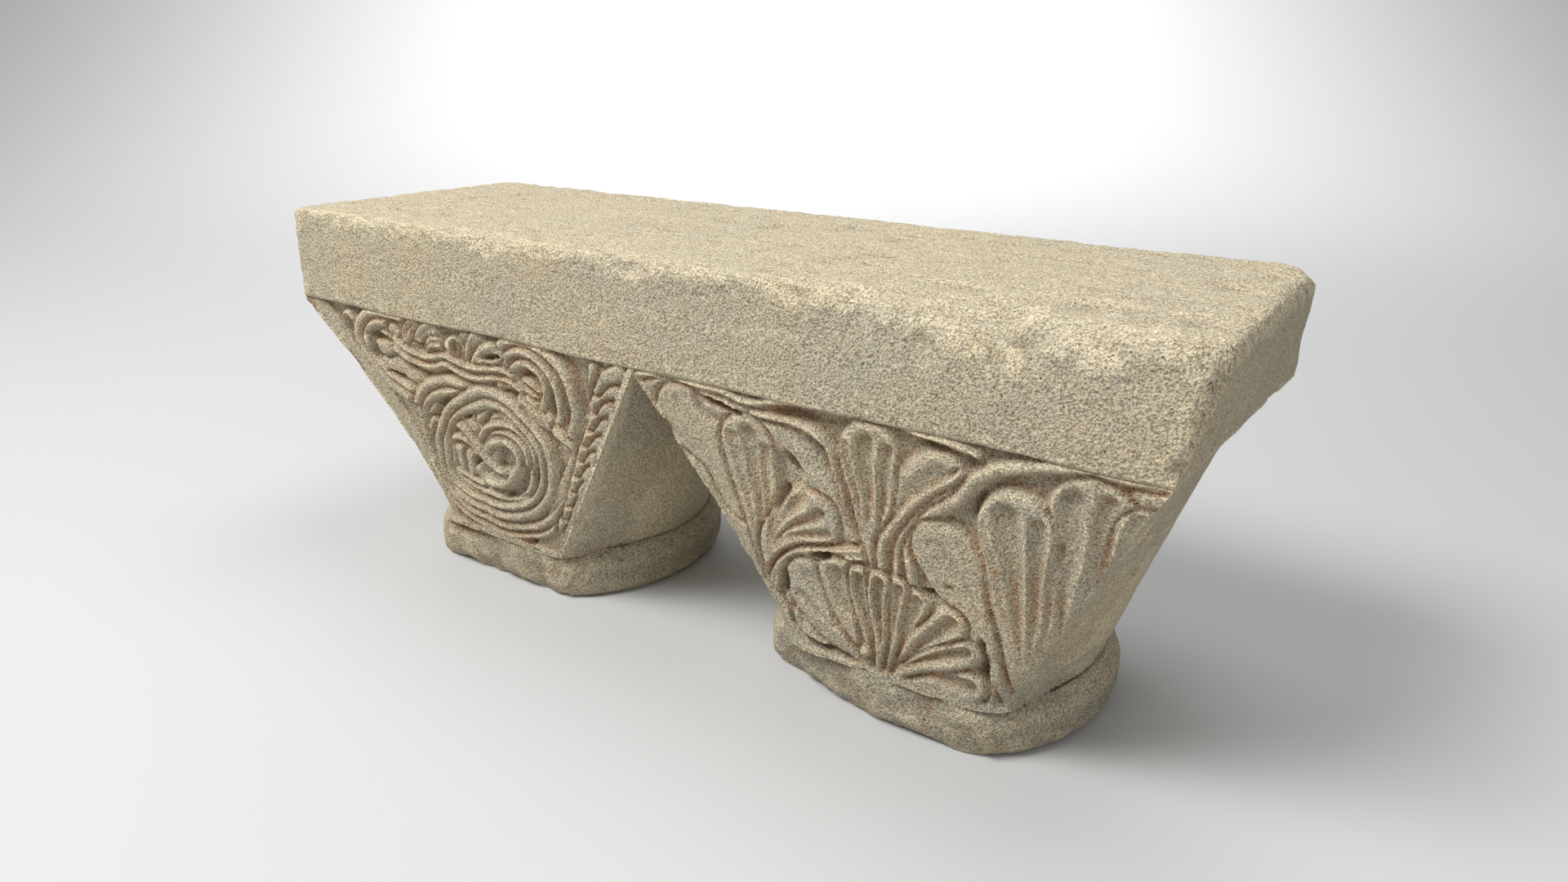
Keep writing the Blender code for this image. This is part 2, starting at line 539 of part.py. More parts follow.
def bell_rings(bell):
    """The bell's level outlines from foot to slab, each one a closed row of points."""
    rises = np.linspace(0, 1, BELL_ROWS)
    across, rise = np.meshgrid(np.arange(FRONT_COLUMNS) / FRONT_COLUMNS, rises)
    front_x, front_y = front_of(bell, across, rise)
    front_y = front_y - carve_front(bell, rise, front_x) * fade_at_edges(across, rise)

    left_top, _ = front_of(bell, 0.0, 1.0)
    right_top, _ = front_of(bell, 1.0, 1.0)
    front_left = Arris(bell, bell["left_foot"], (left_top, -bell_half_depth), bell["left_flare"])
    front_right = Arris(bell, bell["right_foot"], (right_top, -bell_half_depth), bell["right_flare"])
    corner = math.radians(back_foot_angle)
    back_foot = (bell_foot_radius * math.cos(corner), bell_foot_radius * math.sin(corner))
    back_right = Arris(bell, back_foot, (right_top, bell_half_depth), bell["right_flare"])
    back_left = Arris(bell, (-back_foot[0], back_foot[1]), (left_top, bell_half_depth),
                      bell["left_flare"])

    side_across, side_rise = np.meshgrid(np.arange(SIDE_COLUMNS) / SIDE_COLUMNS, rises)
    right_x, right_y = round_side(front_right, back_right, side_across, side_rise)
    left_x, left_y = round_side(back_left, front_left, side_across, side_rise)

    back_across, back_rise = np.meshgrid(np.arange(BACK_COLUMNS) / BACK_COLUMNS, rises)
    back_x, back_y = round_side(back_right, back_left, back_across, back_rise)
    first_x, _ = round_side(back_right, back_left, np.zeros_like(back_rise), back_rise)
    last_x, _ = round_side(back_right, back_left, np.ones_like(back_rise), back_rise)
    depth = carve_back(bell, back_rise, back_x, last_x, first_x)
    back_y = back_y + depth * fade_at_edges(back_across, back_rise)

    xs = np.hstack([front_x, right_x, back_x, left_x])
    ys = np.hstack([front_y, right_y, back_y, left_y])
    zs = neck_height + rises * bell_height
    zs[-1] += bell_rim
    xs = np.vstack([xs[:1], xs, xs[-1:]])
    ys = np.vstack([ys[:1], ys, ys[-1:] - np.sign(ys[-1:]) * bell_tuck])
    zs = np.concatenate([[neck_height - neck_overlap], zs, [slab_underside + bell_overlap]])
    return [[(x, y, z) for x, y in zip(row_x, row_y)] for row_x, row_y, z in zip(xs, ys, zs)]


def skin(name, rings):
    """A closed solid through a stack of outlines that all have as many points."""
    mesh = bpy.data.meshes.new(name)
    shape = bmesh.new()
    rows = [[shape.verts.new(point) for point in ring] for ring in rings]
    for low, high in zip(rows, rows[1:]):
        count = len(low)
        for k in range(count):
            after = (k + 1) % count
            shape.faces.new((low[k], low[after], high[after], high[k]))
    shape.faces.new(rows[0][::-1])
    shape.faces.new(rows[-1])
    bmesh.ops.recalc_face_normals(shape, faces=shape.faces)
    shape.to_mesh(mesh)
    shape.free()
    piece = bpy.data.objects.new(name, mesh)
    bpy.context.scene.collection.objects.link(piece)
    return piece


def apply_modifiers(piece):
    """Makes the evaluated shape the object's own mesh."""
    graph = bpy.context.evaluated_depsgraph_get()
    made = bpy.data.meshes.new_from_object(piece.evaluated_get(graph))
    piece.modifiers.clear()
    old = piece.data
    piece.data = made
    bpy.data.meshes.remove(old)


def build_bell(bell):
    piece = skin(bell["name"], bell_rings(bell))
    thin = piece.modifiers.new("thin out", "DECIMATE")
    flat_faces = sum(len(face.vertices) - 2 for face in piece.data.polygons)
    thin.ratio = carving_triangles / flat_faces
    apply_modifiers(piece)
    return piece


# The neck ring's side from its underside up: share of the shoulder it draws in, share of its height
neck_profile = ((0.8, 0.0), (0.2, 0.12), (0.0, 0.35), (0.0, 0.6), (0.3, 0.82), (1.0, 0.97))
# Waves of unevenness, as (waves along X, waves along Z, start, share); waves are in radians per metre
break_waves = ((131, 83, 1.3, 0.6), (317, 190, 0.0, 0.4))
edge_waves = ((47, 0, 0.7, 0.22), (113, 0, 2.1, 0.18))
# Where the slab's upper front edge is broken down, as (place along X, half width, share of the wear)
broken_places = ((0.22, 0.075, 1.0), (-0.12, 0.025, 0.25))


def uneven(waves, x, z=0.0):
    return sum(share * math.sin(by_x * x + by_z * z + start) for by_x, by_z, start, share in waves)


def build_neck(bell):
    """The round neck ring, its front broken off."""
    neck_x = bell["side"] * neck_spacing / 2
    inner_top = bell_foot_radius - neck_shoulder / 2
    profile = [(neck_radius - neck_shoulder * drop, neck_height * rise) for drop, rise in neck_profile]
    profile.append((inner_top, neck_height))
    rings = []
    for radius, z in profile:
        under = max(0.0, 1 - z / neck_height / 0.45)
        ring = []
        for k in range(NECK_SEGMENTS):
            angle = 2 * math.pi * k / NECK_SEGMENTS
            x = radius * math.cos(angle)
            reach = neck_broken_reach + neck_roughness * uneven(break_waves, x + neck_x, z)
            reach -= neck_broken_foot * under**2
            if bell["side"] > 0:
                reach -= neck_break_slope * max(0.0, neck_break_start - x)
            ring.append((neck_x + x, max(radius * math.sin(angle), -reach), z))
        rings.append(ring)
    return skin(bell["name"] + "_neck", rings)


def edge_wear(x):
    """Depth of the worn upper front edge along the slab: uneven, and broken down in places."""
    broken = sum(share * math.exp(-(((x - place) / half) ** 2)) for place, half, share in broken_places)
    return slab_edge_round * (1 + uneven(edge_waves, x)) + slab_edge_wear * broken


def quarter(start, corner, end, steps=4):
    """A rounded corner from one point to another, pulled towards the corner between them."""
    points = []
    for k in range(steps + 1):
        angle = math.pi / 2 * k / steps
        a = 1 - math.sin(angle)
        b = 1 - math.cos(angle)
        points.append(tuple(c + (s - c) * a + (e - c) * b for s, c, e in zip(start, corner, end)))
    return points


def corner_round(z):
    """Radius of the slab's corners, seen from above, at a height above its underside."""
    return slab_foot_round + (slab_corner_round - slab_foot_round) * z / slab_height


def slab_outline(wear, turn):
    """Outline of the slab across its depth, as (inset from the front or back, height, side).

    turn is how far round the corner it stands, from 0 on the straight to a right angle at the end.
    """
    top = slab_height - slab_end_round * (1 - math.cos(turn)) ** 2
    edge = (slab_front_lean, top)
    worn_front = quarter((slab_front_lean, top - wear * 0.8), edge, (slab_front_lean + wear * 1.3, top))
    worn_back = quarter((slab_front_lean + slab_back_round, top), edge,
                        (slab_front_lean, top - slab_back_round))
    low_front = quarter((slab_low_round, 0.0), (0.0, 0.0), (0.0, slab_low_round), steps=2)
    front = low_front + [(slab_front_lean / 2, top / 2)] + worn_front
    back = worn_back + [(slab_front_lean / 2, top / 2), (0.0, 0.0)]
    return [(inset, z, -1) for inset, z in front] + [(inset, z, 1) for inset, z in back]


def build_slab():
    """The slab, as a stack of outlines from its left end to its right."""
    straight = [(place, 0.0) for place in np.linspace(-1, 1, 41)]
    turns = [math.radians(angle) for angle in (28, 52, 72, 90)]
    stations = [(-1, turn) for turn in reversed(turns)] + straight + [(1, turn) for turn in turns]
    rings = []
    for place, turn in stations:
        ring = []
        for inset, z, side in slab_outline(edge_wear(place * half_length), turn):
            radius = corner_round(z)
            lean = slab_back_lean if side > 0 else slab_end_lean
            end = half_length + (slab_left_extra if place < 0 else 0.0)
            reach = end + slab_end_lean - lean * (1 - z / slab_height) - radius
            x = place * (reach + radius * math.sin(turn))
            y = side * (half_depth - inset - radius * (1 - math.cos(turn)))
            ring.append((x, y, slab_underside + z))
        rings.append(ring)
    return skin("slab", rings)


def join_into(block, piece):
    """Makes the piece part of the block, as one solid."""
    union = block.modifiers.new("union", "BOOLEAN")
    union.operation = "UNION"
    union.solver = "EXACT"
    union.object = piece
    apply_modifiers(block)
    bpy.data.objects.remove(piece)


def flatten_planes(piece):
    """Takes out the edges that lie inside flat faces."""
    shape = bmesh.new()
    shape.from_mesh(piece.data)
    bmesh.ops.dissolve_limit(shape, angle_limit=math.radians(0.05), verts=shape.verts,
                             edges=shape.edges)
    shape.to_mesh(piece.data)
    shape.free()


def stone():
    material = bpy.data.materials.new("limestone")
    material.use_nodes = True
    surface = material.node_tree.nodes["Principled BSDF"]
    surface.inputs["Base Color"].default_value = (0.55, 0.47, 0.34, 1)
    surface.inputs["Roughness"].default_value = 0.85
    surface.inputs["Metallic"].default_value = 0.0
    return material


def clear_scene():
    for old in list(bpy.data.objects):
        bpy.data.objects.remove(old, do_unlink=True)


def build_twin_capital():
    block = build_slab()
    for bell in (left_bell, right_bell):
        join_into(block, build_bell(bell))
        join_into(block, build_neck(bell))
    flatten_planes(block)
    block.data.transform(Matrix.Translation((slab_left_extra / 2, 0, 0)))
    block.name = "twin_capital"
    block.data.name = "twin_capital"
    block.data.materials.clear()
    block.data.materials.append(stone())
    block.data.shade_smooth()
    block.data.set_sharp_from_angle(angle=math.radians(35))
    return block


clear_scene()
build_twin_capital()
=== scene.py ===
import math

import bmesh
import bpy
import numpy as np
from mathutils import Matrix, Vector, noise


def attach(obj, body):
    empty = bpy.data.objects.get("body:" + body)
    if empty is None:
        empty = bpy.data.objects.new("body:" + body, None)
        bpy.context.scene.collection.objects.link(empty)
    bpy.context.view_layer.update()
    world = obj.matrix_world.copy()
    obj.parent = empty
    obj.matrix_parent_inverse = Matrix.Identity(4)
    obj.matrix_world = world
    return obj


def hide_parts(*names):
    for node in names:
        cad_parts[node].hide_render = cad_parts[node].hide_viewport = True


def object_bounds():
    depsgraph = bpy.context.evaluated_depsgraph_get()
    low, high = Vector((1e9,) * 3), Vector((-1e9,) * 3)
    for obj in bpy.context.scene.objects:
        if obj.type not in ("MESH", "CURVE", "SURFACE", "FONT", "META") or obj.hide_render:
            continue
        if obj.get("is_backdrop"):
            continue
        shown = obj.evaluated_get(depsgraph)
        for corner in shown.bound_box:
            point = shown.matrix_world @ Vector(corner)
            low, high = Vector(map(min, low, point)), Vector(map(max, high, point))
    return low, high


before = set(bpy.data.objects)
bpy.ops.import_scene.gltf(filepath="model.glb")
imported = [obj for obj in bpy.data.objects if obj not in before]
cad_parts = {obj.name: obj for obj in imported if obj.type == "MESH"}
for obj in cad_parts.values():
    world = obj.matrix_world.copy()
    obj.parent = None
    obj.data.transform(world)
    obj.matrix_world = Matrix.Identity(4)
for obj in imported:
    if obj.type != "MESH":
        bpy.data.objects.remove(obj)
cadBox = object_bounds()

# A capital for a pair of colonnettes, cut from one block: a slab on two carved bells and their round necks.
# Metres throughout. The carved fronts face -Y and the end nearest the eye is +X.


# small helpers for working on a mesh

def deselectAll():
    if bpy.context.mode != "OBJECT":
        bpy.ops.object.mode_set(mode="OBJECT")
    bpy.ops.object.select_all(action="DESELECT")


def makeActive(piece):
    deselectAll()
    piece.select_set(True)
    bpy.context.view_layer.objects.active = piece


def newest(name):
    piece = bpy.context.active_object
    piece.name = name
    piece.data.name = name
    return piece


def applyPlace(piece):
    makeActive(piece)
    bpy.ops.object.transform_apply(location=True, rotation=True, scale=True)


def cutAlong(piece, axis, cuts):
    # subdivides every edge that runs along one axis, which adds loops across it
    makeActive(piece)
    bpy.ops.object.mode_set(mode="EDIT")
    bpy.ops.mesh.select_mode(type="EDGE")
    bpy.ops.mesh.select_all(action="DESELECT")
    shape = bmesh.from_edit_mesh(piece.data)
    for edge in shape.edges:
        way = edge.verts[1].co - edge.verts[0].co
        if abs(way[axis]) > 0.9 * way.length:
            edge.select_set(True)
    bmesh.update_edit_mesh(piece.data)
    bpy.ops.mesh.subdivide(number_cuts=cuts, smoothness=0)
    bpy.ops.object.mode_set(mode="OBJECT")


def pointsOf(piece):
    points = np.empty(len(piece.data.vertices) * 3)
    piece.data.vertices.foreach_get("co", points)
    return points.reshape(-1, 3)


def setPoints(piece, points):
    piece.data.vertices.foreach_set("co", np.ascontiguousarray(points, dtype=np.float32).ravel())
    piece.data.update()


def normalsOf(piece):
    normals = np.empty(len(piece.data.vertices) * 3, dtype=np.float32)
    piece.data.vertex_normals.foreach_get("vector", normals)
    return normals.reshape(-1, 3).astype(float)


def joinInto(block, piece):
    makeActive(block)
    union = block.modifiers.new("union", "BOOLEAN")
    union.operation = "UNION"
    union.solver = "EXACT"
    union.object = piece
    bpy.ops.object.modifier_apply(modifier=union.name)
    bpy.data.objects.remove(piece)


def grainAt(points, size, seed=0.0):
    # smooth noise between about -1 and 1, with lumps of about this size, which may differ along each axis
    spread = np.array(size, float) * np.ones(3)
    places = points / spread + seed
    return np.array([noise.noise(place) for place in places.tolist()])


# drawing the ornament

# The ornament is drawn on a panel of this size, in points of about a millimetre.
# Height 0 is the panel's own plane and -depth is the sunk ground.
panelSize = {
    "height": 160.0,
    "halfWidth": 157.5,
    "depth": 8.0,
    "arrisLean": 0.82,  # an arris leans, so the way to it is shorter than the way across
    "bank": 2.5,  # slope from a plain border down to the ground
    "waver": 0.8,  # how far a line strays
}


def smoothPath(points, steps=6):
    given = np.array(points, float)
    ends = np.vstack([2 * given[0] - given[1], given, 2 * given[-1] - given[-2]])
    path = []
    for a, b, c, d in zip(ends, ends[1:], ends[2:], ends[3:]):
        for s in np.arange(steps) / steps:
            bend = (c - a) * s + (2 * a - 5 * b + 4 * c - d) * s**2 + (3 * b - a - 3 * c + d) * s**3
            path.append(b + bend / 2)
    path.append(given[-1])
    return np.array(path)


def newFace(u, w, leftEdge, rightEdge):
    # cut by hand, so no line runs quite true
    u = u + panelSize["waver"] * np.sin(w / 7 + 1.1) * np.cos(u / 19)
    w = w + panelSize["waver"] * np.sin(u / 8 + 0.4) * np.cos(w / 17)
    height = np.full(u.shape, -panelSize["depth"])
    return {"u": u, "w": w, "leftEdge": leftEdge, "rightEdge": rightEdge, "height": height}


def along(face, path):
    # how far each point is from the path, and where on it the nearest place is, from 0 to 1
    nearest = np.full(face["u"].shape, np.inf)
    place = np.zeros(face["u"].shape)
    steps = np.diff(path, axis=0)
    lengths = np.hypot(steps[:, 0], steps[:, 1])
    runs = np.concatenate([[0], np.cumsum(lengths)])
    for start, step, length, run in zip(path, steps, lengths, runs):
        offU = face["u"] - start[0]
        offW = face["w"] - start[1]
        s = np.clip((offU * step[0] + offW * step[1]) / length**2, 0, 1)
        distance = np.hypot(offU - s * step[0], offW - s * step[1])
        closer = distance < nearest
        nearest = np.where(closer, distance, nearest)
        place = np.where(closer, (run + s * length) / runs[-1], place)
    return nearest, place


def lay(face, inside, top, soft=3.0, shoulder=4.0, gap=2.4):
    # lays a member over what is there; inside is how far each point is within its outline
    near = np.clip(1 + inside / gap, 0, 1)
    height = face["height"] + (top - shoulder - face["height"]) * near
    fall = shoulder * (1 - np.clip(inside / soft, 0, 1)) ** 2
    face["height"] = np.where(inside > 0, top - fall, height)


def strand(face, path, width, level=0.0, grooved=False, endWidth=None):
    # a round stem, with a groove along its middle where it is doubled
    distance, place = along(face, path)
    half = (width + ((endWidth or width) - width) * place) / 2
    top = level + 0 * distance
    if grooved:
        groove = width / 6
        top = top - groove * (0.5 + 0.5 * np.cos(2 * math.pi * np.clip(distance / half, 0, 1)))
    lay(face, half - distance, top, soft=width * 0.42)


def lobeLine(base, tip, width, bend):
    # centre line of a lobe, which ends at the middle of its round tip
    base = np.array(base, float)
    line = np.array(tip, float) - base
    length = np.hypot(line[0], line[1])
    end = base + line * (1 - width / 2 / length)
    normal = np.array([-line[1], line[0]]) / length
    return smoothPath([base, (base + end) / 2 + normal * bend, end])


def withinLobe(face, base, tip, width, bend, root):
    # how far each point is within a lobe that is narrow at its base and round at its tip
    distance, place = along(face, lobeLine(base, tip, width, bend))
    return width / 2 * (root + (1 - root) * np.sin(place * math.pi / 2) ** 1.3) - distance


def leaf(face, base, tip, width, bend=0.0, level=-0.3, hollow=2.5, rim=3.0, root=0.2):
    # a lobe that is sunk a little inside its rim
    inside = withinLobe(face, base, tip, width, bend, root)
    sink = np.clip((inside - rim * 0.5) / rim, 0, 1)
    swell = 1.4 * (1 - np.clip(inside / (width * 0.4), 0, 1)) ** 2
    lay(face, inside, level - swell - hollow * sink**2 * (3 - 2 * sink), shoulder=3.2)


def flute(face, base, tip, width, bend=0.0, depth=3.0, root=0.15):
    # a long hollow cut into a leaf, deepest along its middle
    inside = withinLobe(face, base, tip, width, bend, root)
    sink = np.clip(inside / (width * 0.38), 0, 1)
    face["height"] = face["height"] - depth * sink**2 * (3 - 2 * sink)


def pit(face, centre, radii, turn=0.0, depth=5.0):
    # a drilled hollow, deeper than the ground
    angle = math.radians(turn)
    offU = face["u"] - centre[0]
    offW = face["w"] - centre[1]
    across = (offU * math.cos(angle) + offW * math.sin(angle)) / radii[0]
    up = (offW * math.cos(angle) - offU * math.sin(angle)) / radii[1]
    reach = np.clip(1.35 - np.hypot(across, up), 0, 0.8) / 0.8
    bottom = -panelSize["depth"] - depth
    face["height"] = face["height"] + (bottom - face["height"]) * reach**2 * (3 - 2 * reach)


def pearl(face, centre, radius, level=0.0):
    distance = np.hypot(face["u"] - centre[0], face["w"] - centre[1])
    lay(face, radius - distance, level - radius * 0.35 * np.clip(distance / radius, 0, 1) ** 2)


def border(face, edge, width, level, fall=0.0):
    # a plain margin left standing along one arris
    bank = panelSize["depth"] * np.clip((face[edge] - width) / panelSize["bank"], 0, 1)
    face["height"] = np.maximum(face["height"], level - fall * np.clip(face[edge] / width, 0, 1) - bank)


# the medallion panel, on the left bell

def rolledLeaf(face):
    # the leaf rolled up at the upper left, with a bud beside it
    bud = [(-118, 116), (-128, 130), (-134, 143), (-131, 153), (-124, 154), (-121, 144), (-123, 132)]
    strand(face, smoothPath(bud), 6, -1.5)
    leaf(face, (-56, 112), (-106, 124), 24, bend=2, level=-2.4, hollow=0, root=0.7)
    leaf(face, (-52, 146), (-100, 133), 20, bend=-4, level=-1.6, hollow=0, root=0.7)
    flute(face, (-58, 146), (-90, 148), 6, depth=1.6)
    inner = [(-58, 153), (-80, 153), (-96, 151), (-106, 143), (-108, 132), (-102, 121), (-90, 112),
             (-76, 105), (-58, 99)]
    strand(face, smoothPath(inner), 8, -0.4)
    outer = [(-46, 159), (-66, 162), (-86, 161), (-104, 157), (-115, 148), (-117, 136), (-112, 123),
             (-102, 111), (-86, 101), (-70, 94), (-60, 90)]
    strand(face, smoothPath(outer), 10)
    for centre, radii, turn in (((-93, 141), (12, 2.8), -4), ((-101, 127), (3.2, 6), 25),
                                ((-67, 126), (6, 3.4), -55), ((-77, 112), (14, 1.6), -14)):
        pit(face, centre, radii, turn)


def leafyStem(face):
    # the doubled wavy stem along the top, with half palmettes on it
    leaf(face, (-54, 141), (-80, 152), 15, bend=2, level=-1.2, hollow=0, root=0.5)
    for base, tip, width in (((-66, 138), (-40, 163), 15), ((-52, 137), (-26, 160), 15),
                             ((-42, 137), (-22, 150), 11)):
        leaf(face, base, tip, width, bend=3, level=-0.2, hollow=0, root=0.4)
        flute(face, base, tip, width * 0.5, bend=3, depth=2.6)
    for base, tip, width in (((2, 134), (3, 160), 14), ((4, 134), (18, 161), 16), ((8, 136), (38, 154), 18)):
        leaf(face, base, tip, width, bend=2, level=-0.4, hollow=0, root=0.5)
        flute(face, base, tip, width * 0.45, bend=2, depth=2.4)
    pearl(face, (-12, 147), 9, -0.4)
    upper = [(-74, 143), (-60, 135), (-45, 133), (-28, 136), (-18, 138), (-8, 135), (8, 134), (22, 136),
             (34, 138), (44, 135)]
    lower = [(-76, 135), (-64, 129), (-50, 126.5), (-35, 128), (-22, 131.5), (-12, 129), (-2, 126.5),
             (12, 127.5), (26, 130), (40, 130.5), (52, 126)]
    strand(face, smoothPath(upper), 7, endWidth=5.5)
    strand(face, smoothPath(lower), 8, -0.2, endWidth=5)
    pit(face, (-47, 141), (5, 3), -15)
    pit(face, (-9, 147), (1.8, 5))
    pit(face, (28, 146), (8, 1.6), 15)


def volute(face):
    # the stem's end, rolled up at the upper right
    leaf(face, (84, 102), (46, 122), 22, level=-1.4, hollow=0, root=0.6)
    for shift in (-4, 3):
        flute(face, (78, 103 + shift), (50, 120 + shift), 5, depth=1.8)
    for base, tip in (((66, 124), (48, 132)), ((68, 128), (53, 138))):
        leaf(face, base, tip, 8, level=-1.6, hollow=0, root=0.6)
    strand(face, smoothPath([(44, 130), (45, 139), (54, 145), (66, 145), (74, 138), (75, 127), (70, 117)]),
           6.5, -0.6)
    middle = [(38, 128), (38, 141), (45, 150.5), (58, 154), (72, 152), (82, 144), (87, 131), (86, 116),
              (81, 103)]
    strand(face, smoothPath(middle), 7.5, -0.3)
    outer = [(31, 128), (30, 143), (37, 155), (51, 161.5), (70, 162), (86, 156), (96, 145), (100, 131),
             (99, 117), (94, 104), (86, 93)]
    strand(face, smoothPath(outer), 9)
    leaf(face, (92, 94), (76, 104), 12, level=0, hollow=0, root=0.7)
    pit(face, (79, 120), (2.2, 9), 4)
    pit(face, (59, 139), (6, 2.0), 10)


def foliage(face):
    # what winds through the ring: a fluted leaf, a stem across it and the loop that the stem ends in
    leaf(face, (8, 62), (-24, 100), 30, bend=-3, level=-2.0, hollow=0, root=0.7)
    leaf(face, (6, 84), (52, 106), 26, bend=5, level=-1.8, hollow=0)
    flute(face, (14, 92), (46, 106), 6, bend=4, depth=2.0)
    flute(face, (10, 94), (32, 108), 5, bend=3, depth=1.6)
    leaf(face, (2, 94), (12, 116), 15, level=-1.4, hollow=0, root=0.5)
    flute(face, (4, 98), (11, 112), 6, depth=2.4)
    for base, tip in (((-63, 76), (-44, 100)), ((-60, 62), (-50, 86))):
        leaf(face, base, tip, 9, bend=2, level=-1.2, hollow=0)
    leaf(face, (-24, 36), (-26, 74), 34, level=-1.6, hollow=0, root=0.9)
    for base, tip in (((-33, 44), (-37, 67)), ((-26, 42), (-27, 71)), ((-18, 42), (-16, 69))):
        leaf(face, base, tip, 11.5, level=-0.8, hollow=0, root=0.8)
    strand(face, smoothPath([(-43, 52), (-41, 64), (-34, 72), (-24, 75), (-14, 73), (-8, 65)]), 6, -0.4)
    strand(face, smoothPath([(50, 74), (49, 63), (44, 52), (36, 42), (26, 36)]), 8, -0.6)
    outer = [(-6, 72), (3, 84), (14, 92), (28, 95.5), (42, 93), (52, 84), (55, 72)]
    strand(face, smoothPath(outer), 7, -0.2)
    strand(face, smoothPath([(-2, 68), (6, 78), (15, 85.5), (27, 88.5), (38, 86), (46, 78), (46, 70)]), 6.5,
           -0.5)
    loop = [(2, 70), (10, 77), (20, 81.5), (30, 80.5), (36.5, 74), (35, 65), (28, 57), (20, 49), (11, 44),
            (2, 43), (-6, 47), (-9, 54)]
    strand(face, smoothPath(loop), 8.5)
    strand(face, smoothPath([(-26, 88), (-16, 83), (-8, 74), (-2, 65), (6, 58), (17, 55)]), 10.5, 0.1,
           endWidth=7.5)
    for path in ([(38, 40), (27, 34.5), (12, 33), (-4, 34.5), (-20, 37.5), (-38, 44)],
                 [(-8, 41), (-20, 43), (-34, 46)]):
        strand(face, smoothPath(path), 7, -0.8)
    pits = (((-32, 103), (11, 3.0), 24), ((20, 67), (11, 4.6), 52), ((53, 60), (8, 2.4), 68),
            ((33, 49), (8, 2.6), 50), ((20, 38), (8, 1.8), 20), ((-8, 29.5), (11, 1.6), 8),
            ((-12, 94), (6, 2), 20), ((18, 108), (5, 3.6), -20), ((-11, 60), (2.4, 4), -20),
            ((-22, 80), (5, 1.8), -35))
    for centre, radii, turn in pits:
        pit(face, centre, radii, turn)


def ring(face):
    # two strands from the left tuck under the ring, which is two strands itself
    for path in ([(-64, 82), (-60, 92), (-51, 101), (-40, 107), (-28, 110.5), (-12, 110), (2, 105)],
                 [(-70, 84), (-64, 97), (-52, 109), (-36, 117), (-18, 119), (0, 116)]):
        strand(face, smoothPath(path), 9)
    inner = [(-40, 33), (-45, 44), (-42, 58), (-40, 71), (-36, 80), (-30, 88), (-21, 94), (-11, 99.5),
             (1, 105.5), (14, 110), (28, 108.5), (42, 101.5), (54, 91), (61, 79), (60.5, 66), (55, 53),
             (46, 42), (33, 33), (18, 27.5), (3, 25), (-14, 25), (-28, 27), (-40, 33)]
    outer = [(-46, 29), (-52, 42), (-51, 57), (-49, 68), (-43, 80), (-36, 91), (-26, 99), (-14, 106),
             (-3, 113), (9, 118.5), (26, 117.5), (44, 110), (58, 99.5), (67, 86), (69, 70), (64, 54),
             (54, 40), (41, 29), (26, 22), (10, 18), (-8, 17), (-28, 20), (-46, 29)]
    for path in (inner, outer):
        strand(face, smoothPath(path), 9)
    strand(face, smoothPath([(-66, 88), (-63, 74), (-62, 58), (-58, 42), (-48, 27)]), 7, -0.6)


def ropeBorder(face):
    # a rope of slanting strokes between two ribs, which run on round the panel's foot
    border(face, "rightEdge", 22, -3.2)
    low = [(78, 43), (69, 30), (58, 20), (44, 11.5), (24, 5), (2, 2.5), (-20, 4), (-40, 12), (-56, 26),
           (-68, 44)]
    high = [(122, 156), (119, 142), (114, 124), (107, 106), (99, 88), (91, 72), (82, 56), (72, 42),
            (60, 30), (45, 19.5), (30, 13.5), (10, 10), (-14, 10), (-34, 15), (-52, 28), (-64, 46)]
    for path in (low, high):
        strand(face, smoothPath(path), 7)
    strokes = 10
    for k in range(strokes):
        rise = k / (strokes - 1)
        middle = np.array((75 + 61 * rise, 32 + 118 * rise))
        reach = np.array((9 + 4 * rise, 10.5))
        leaf(face, middle - reach, middle + reach, 11 + 2 * rise, bend=3, level=-0.4, hollow=0, root=0.5)
    border(face, "rightEdge", 4.5, -0.3)


def medallionPanel(face):
    border(face, "leftEdge", 16, -1.5, 3.5)
    rolledLeaf(face)
    volute(face)
    leafyStem(face)
    foliage(face)
    ring(face)
    ropeBorder(face)


# the palmette panel, on the right bell

def leftPalmette(face):
    # two fluted lobes on a stem that swings in from the left arris, and the wide stem above them
    leaf(face, (-90, 88), (-136, 155), 46, bend=-8, level=-0.6, hollow=0.8, rim=6, root=0.6)
    stem = [(-100, 153), (-70, 147), (-46, 134), (-29, 114), (-17, 96), (-6, 82)]
    strand(face, smoothPath(stem), 26, -1.0, endWidth=15)
    rib = [(-72, 151), (-44, 149), (-25, 142), (-18, 126), (-13, 108), (-7, 94), (2, 82)]
    strand(face, smoothPath(rib), 6)
    leaf(face, (-74, 36), (-79, 148), 38, bend=-4, hollow=0, root=0.25)
    flute(face, (-74, 60), (-88, 138), 11, depth=3.0)
    flute(face, (-72, 56), (-77, 144), 15, bend=-2, depth=4.6)
    flute(face, (-70, 60), (-65, 134), 9, bend=-2, depth=3.0)
    leaf(face, (-72, 40), (-25, 107), 40, bend=7, hollow=0, root=0.25)
    for tip, width, bend, depth in (((-53, 109), 9, 3, 3.2), ((-39, 110), 11, 5, 4.0),
                                    ((-27, 100), 10, 6, 3.8), ((-23, 87), 8, 7, 2.8)):
        flute(face, (-68, 56), tip, width, bend, depth)
    tendril = [(-58, 18), (-68, 34), (-61, 52), (-44, 65), (-20, 73), (4, 80)]
    strand(face, smoothPath(tendril), 11, grooved=True)
    pit(face, (-47, 124), (8, 4), -50)
    pit(face, (-96, 150), (15, 1.8), -12, depth=1)


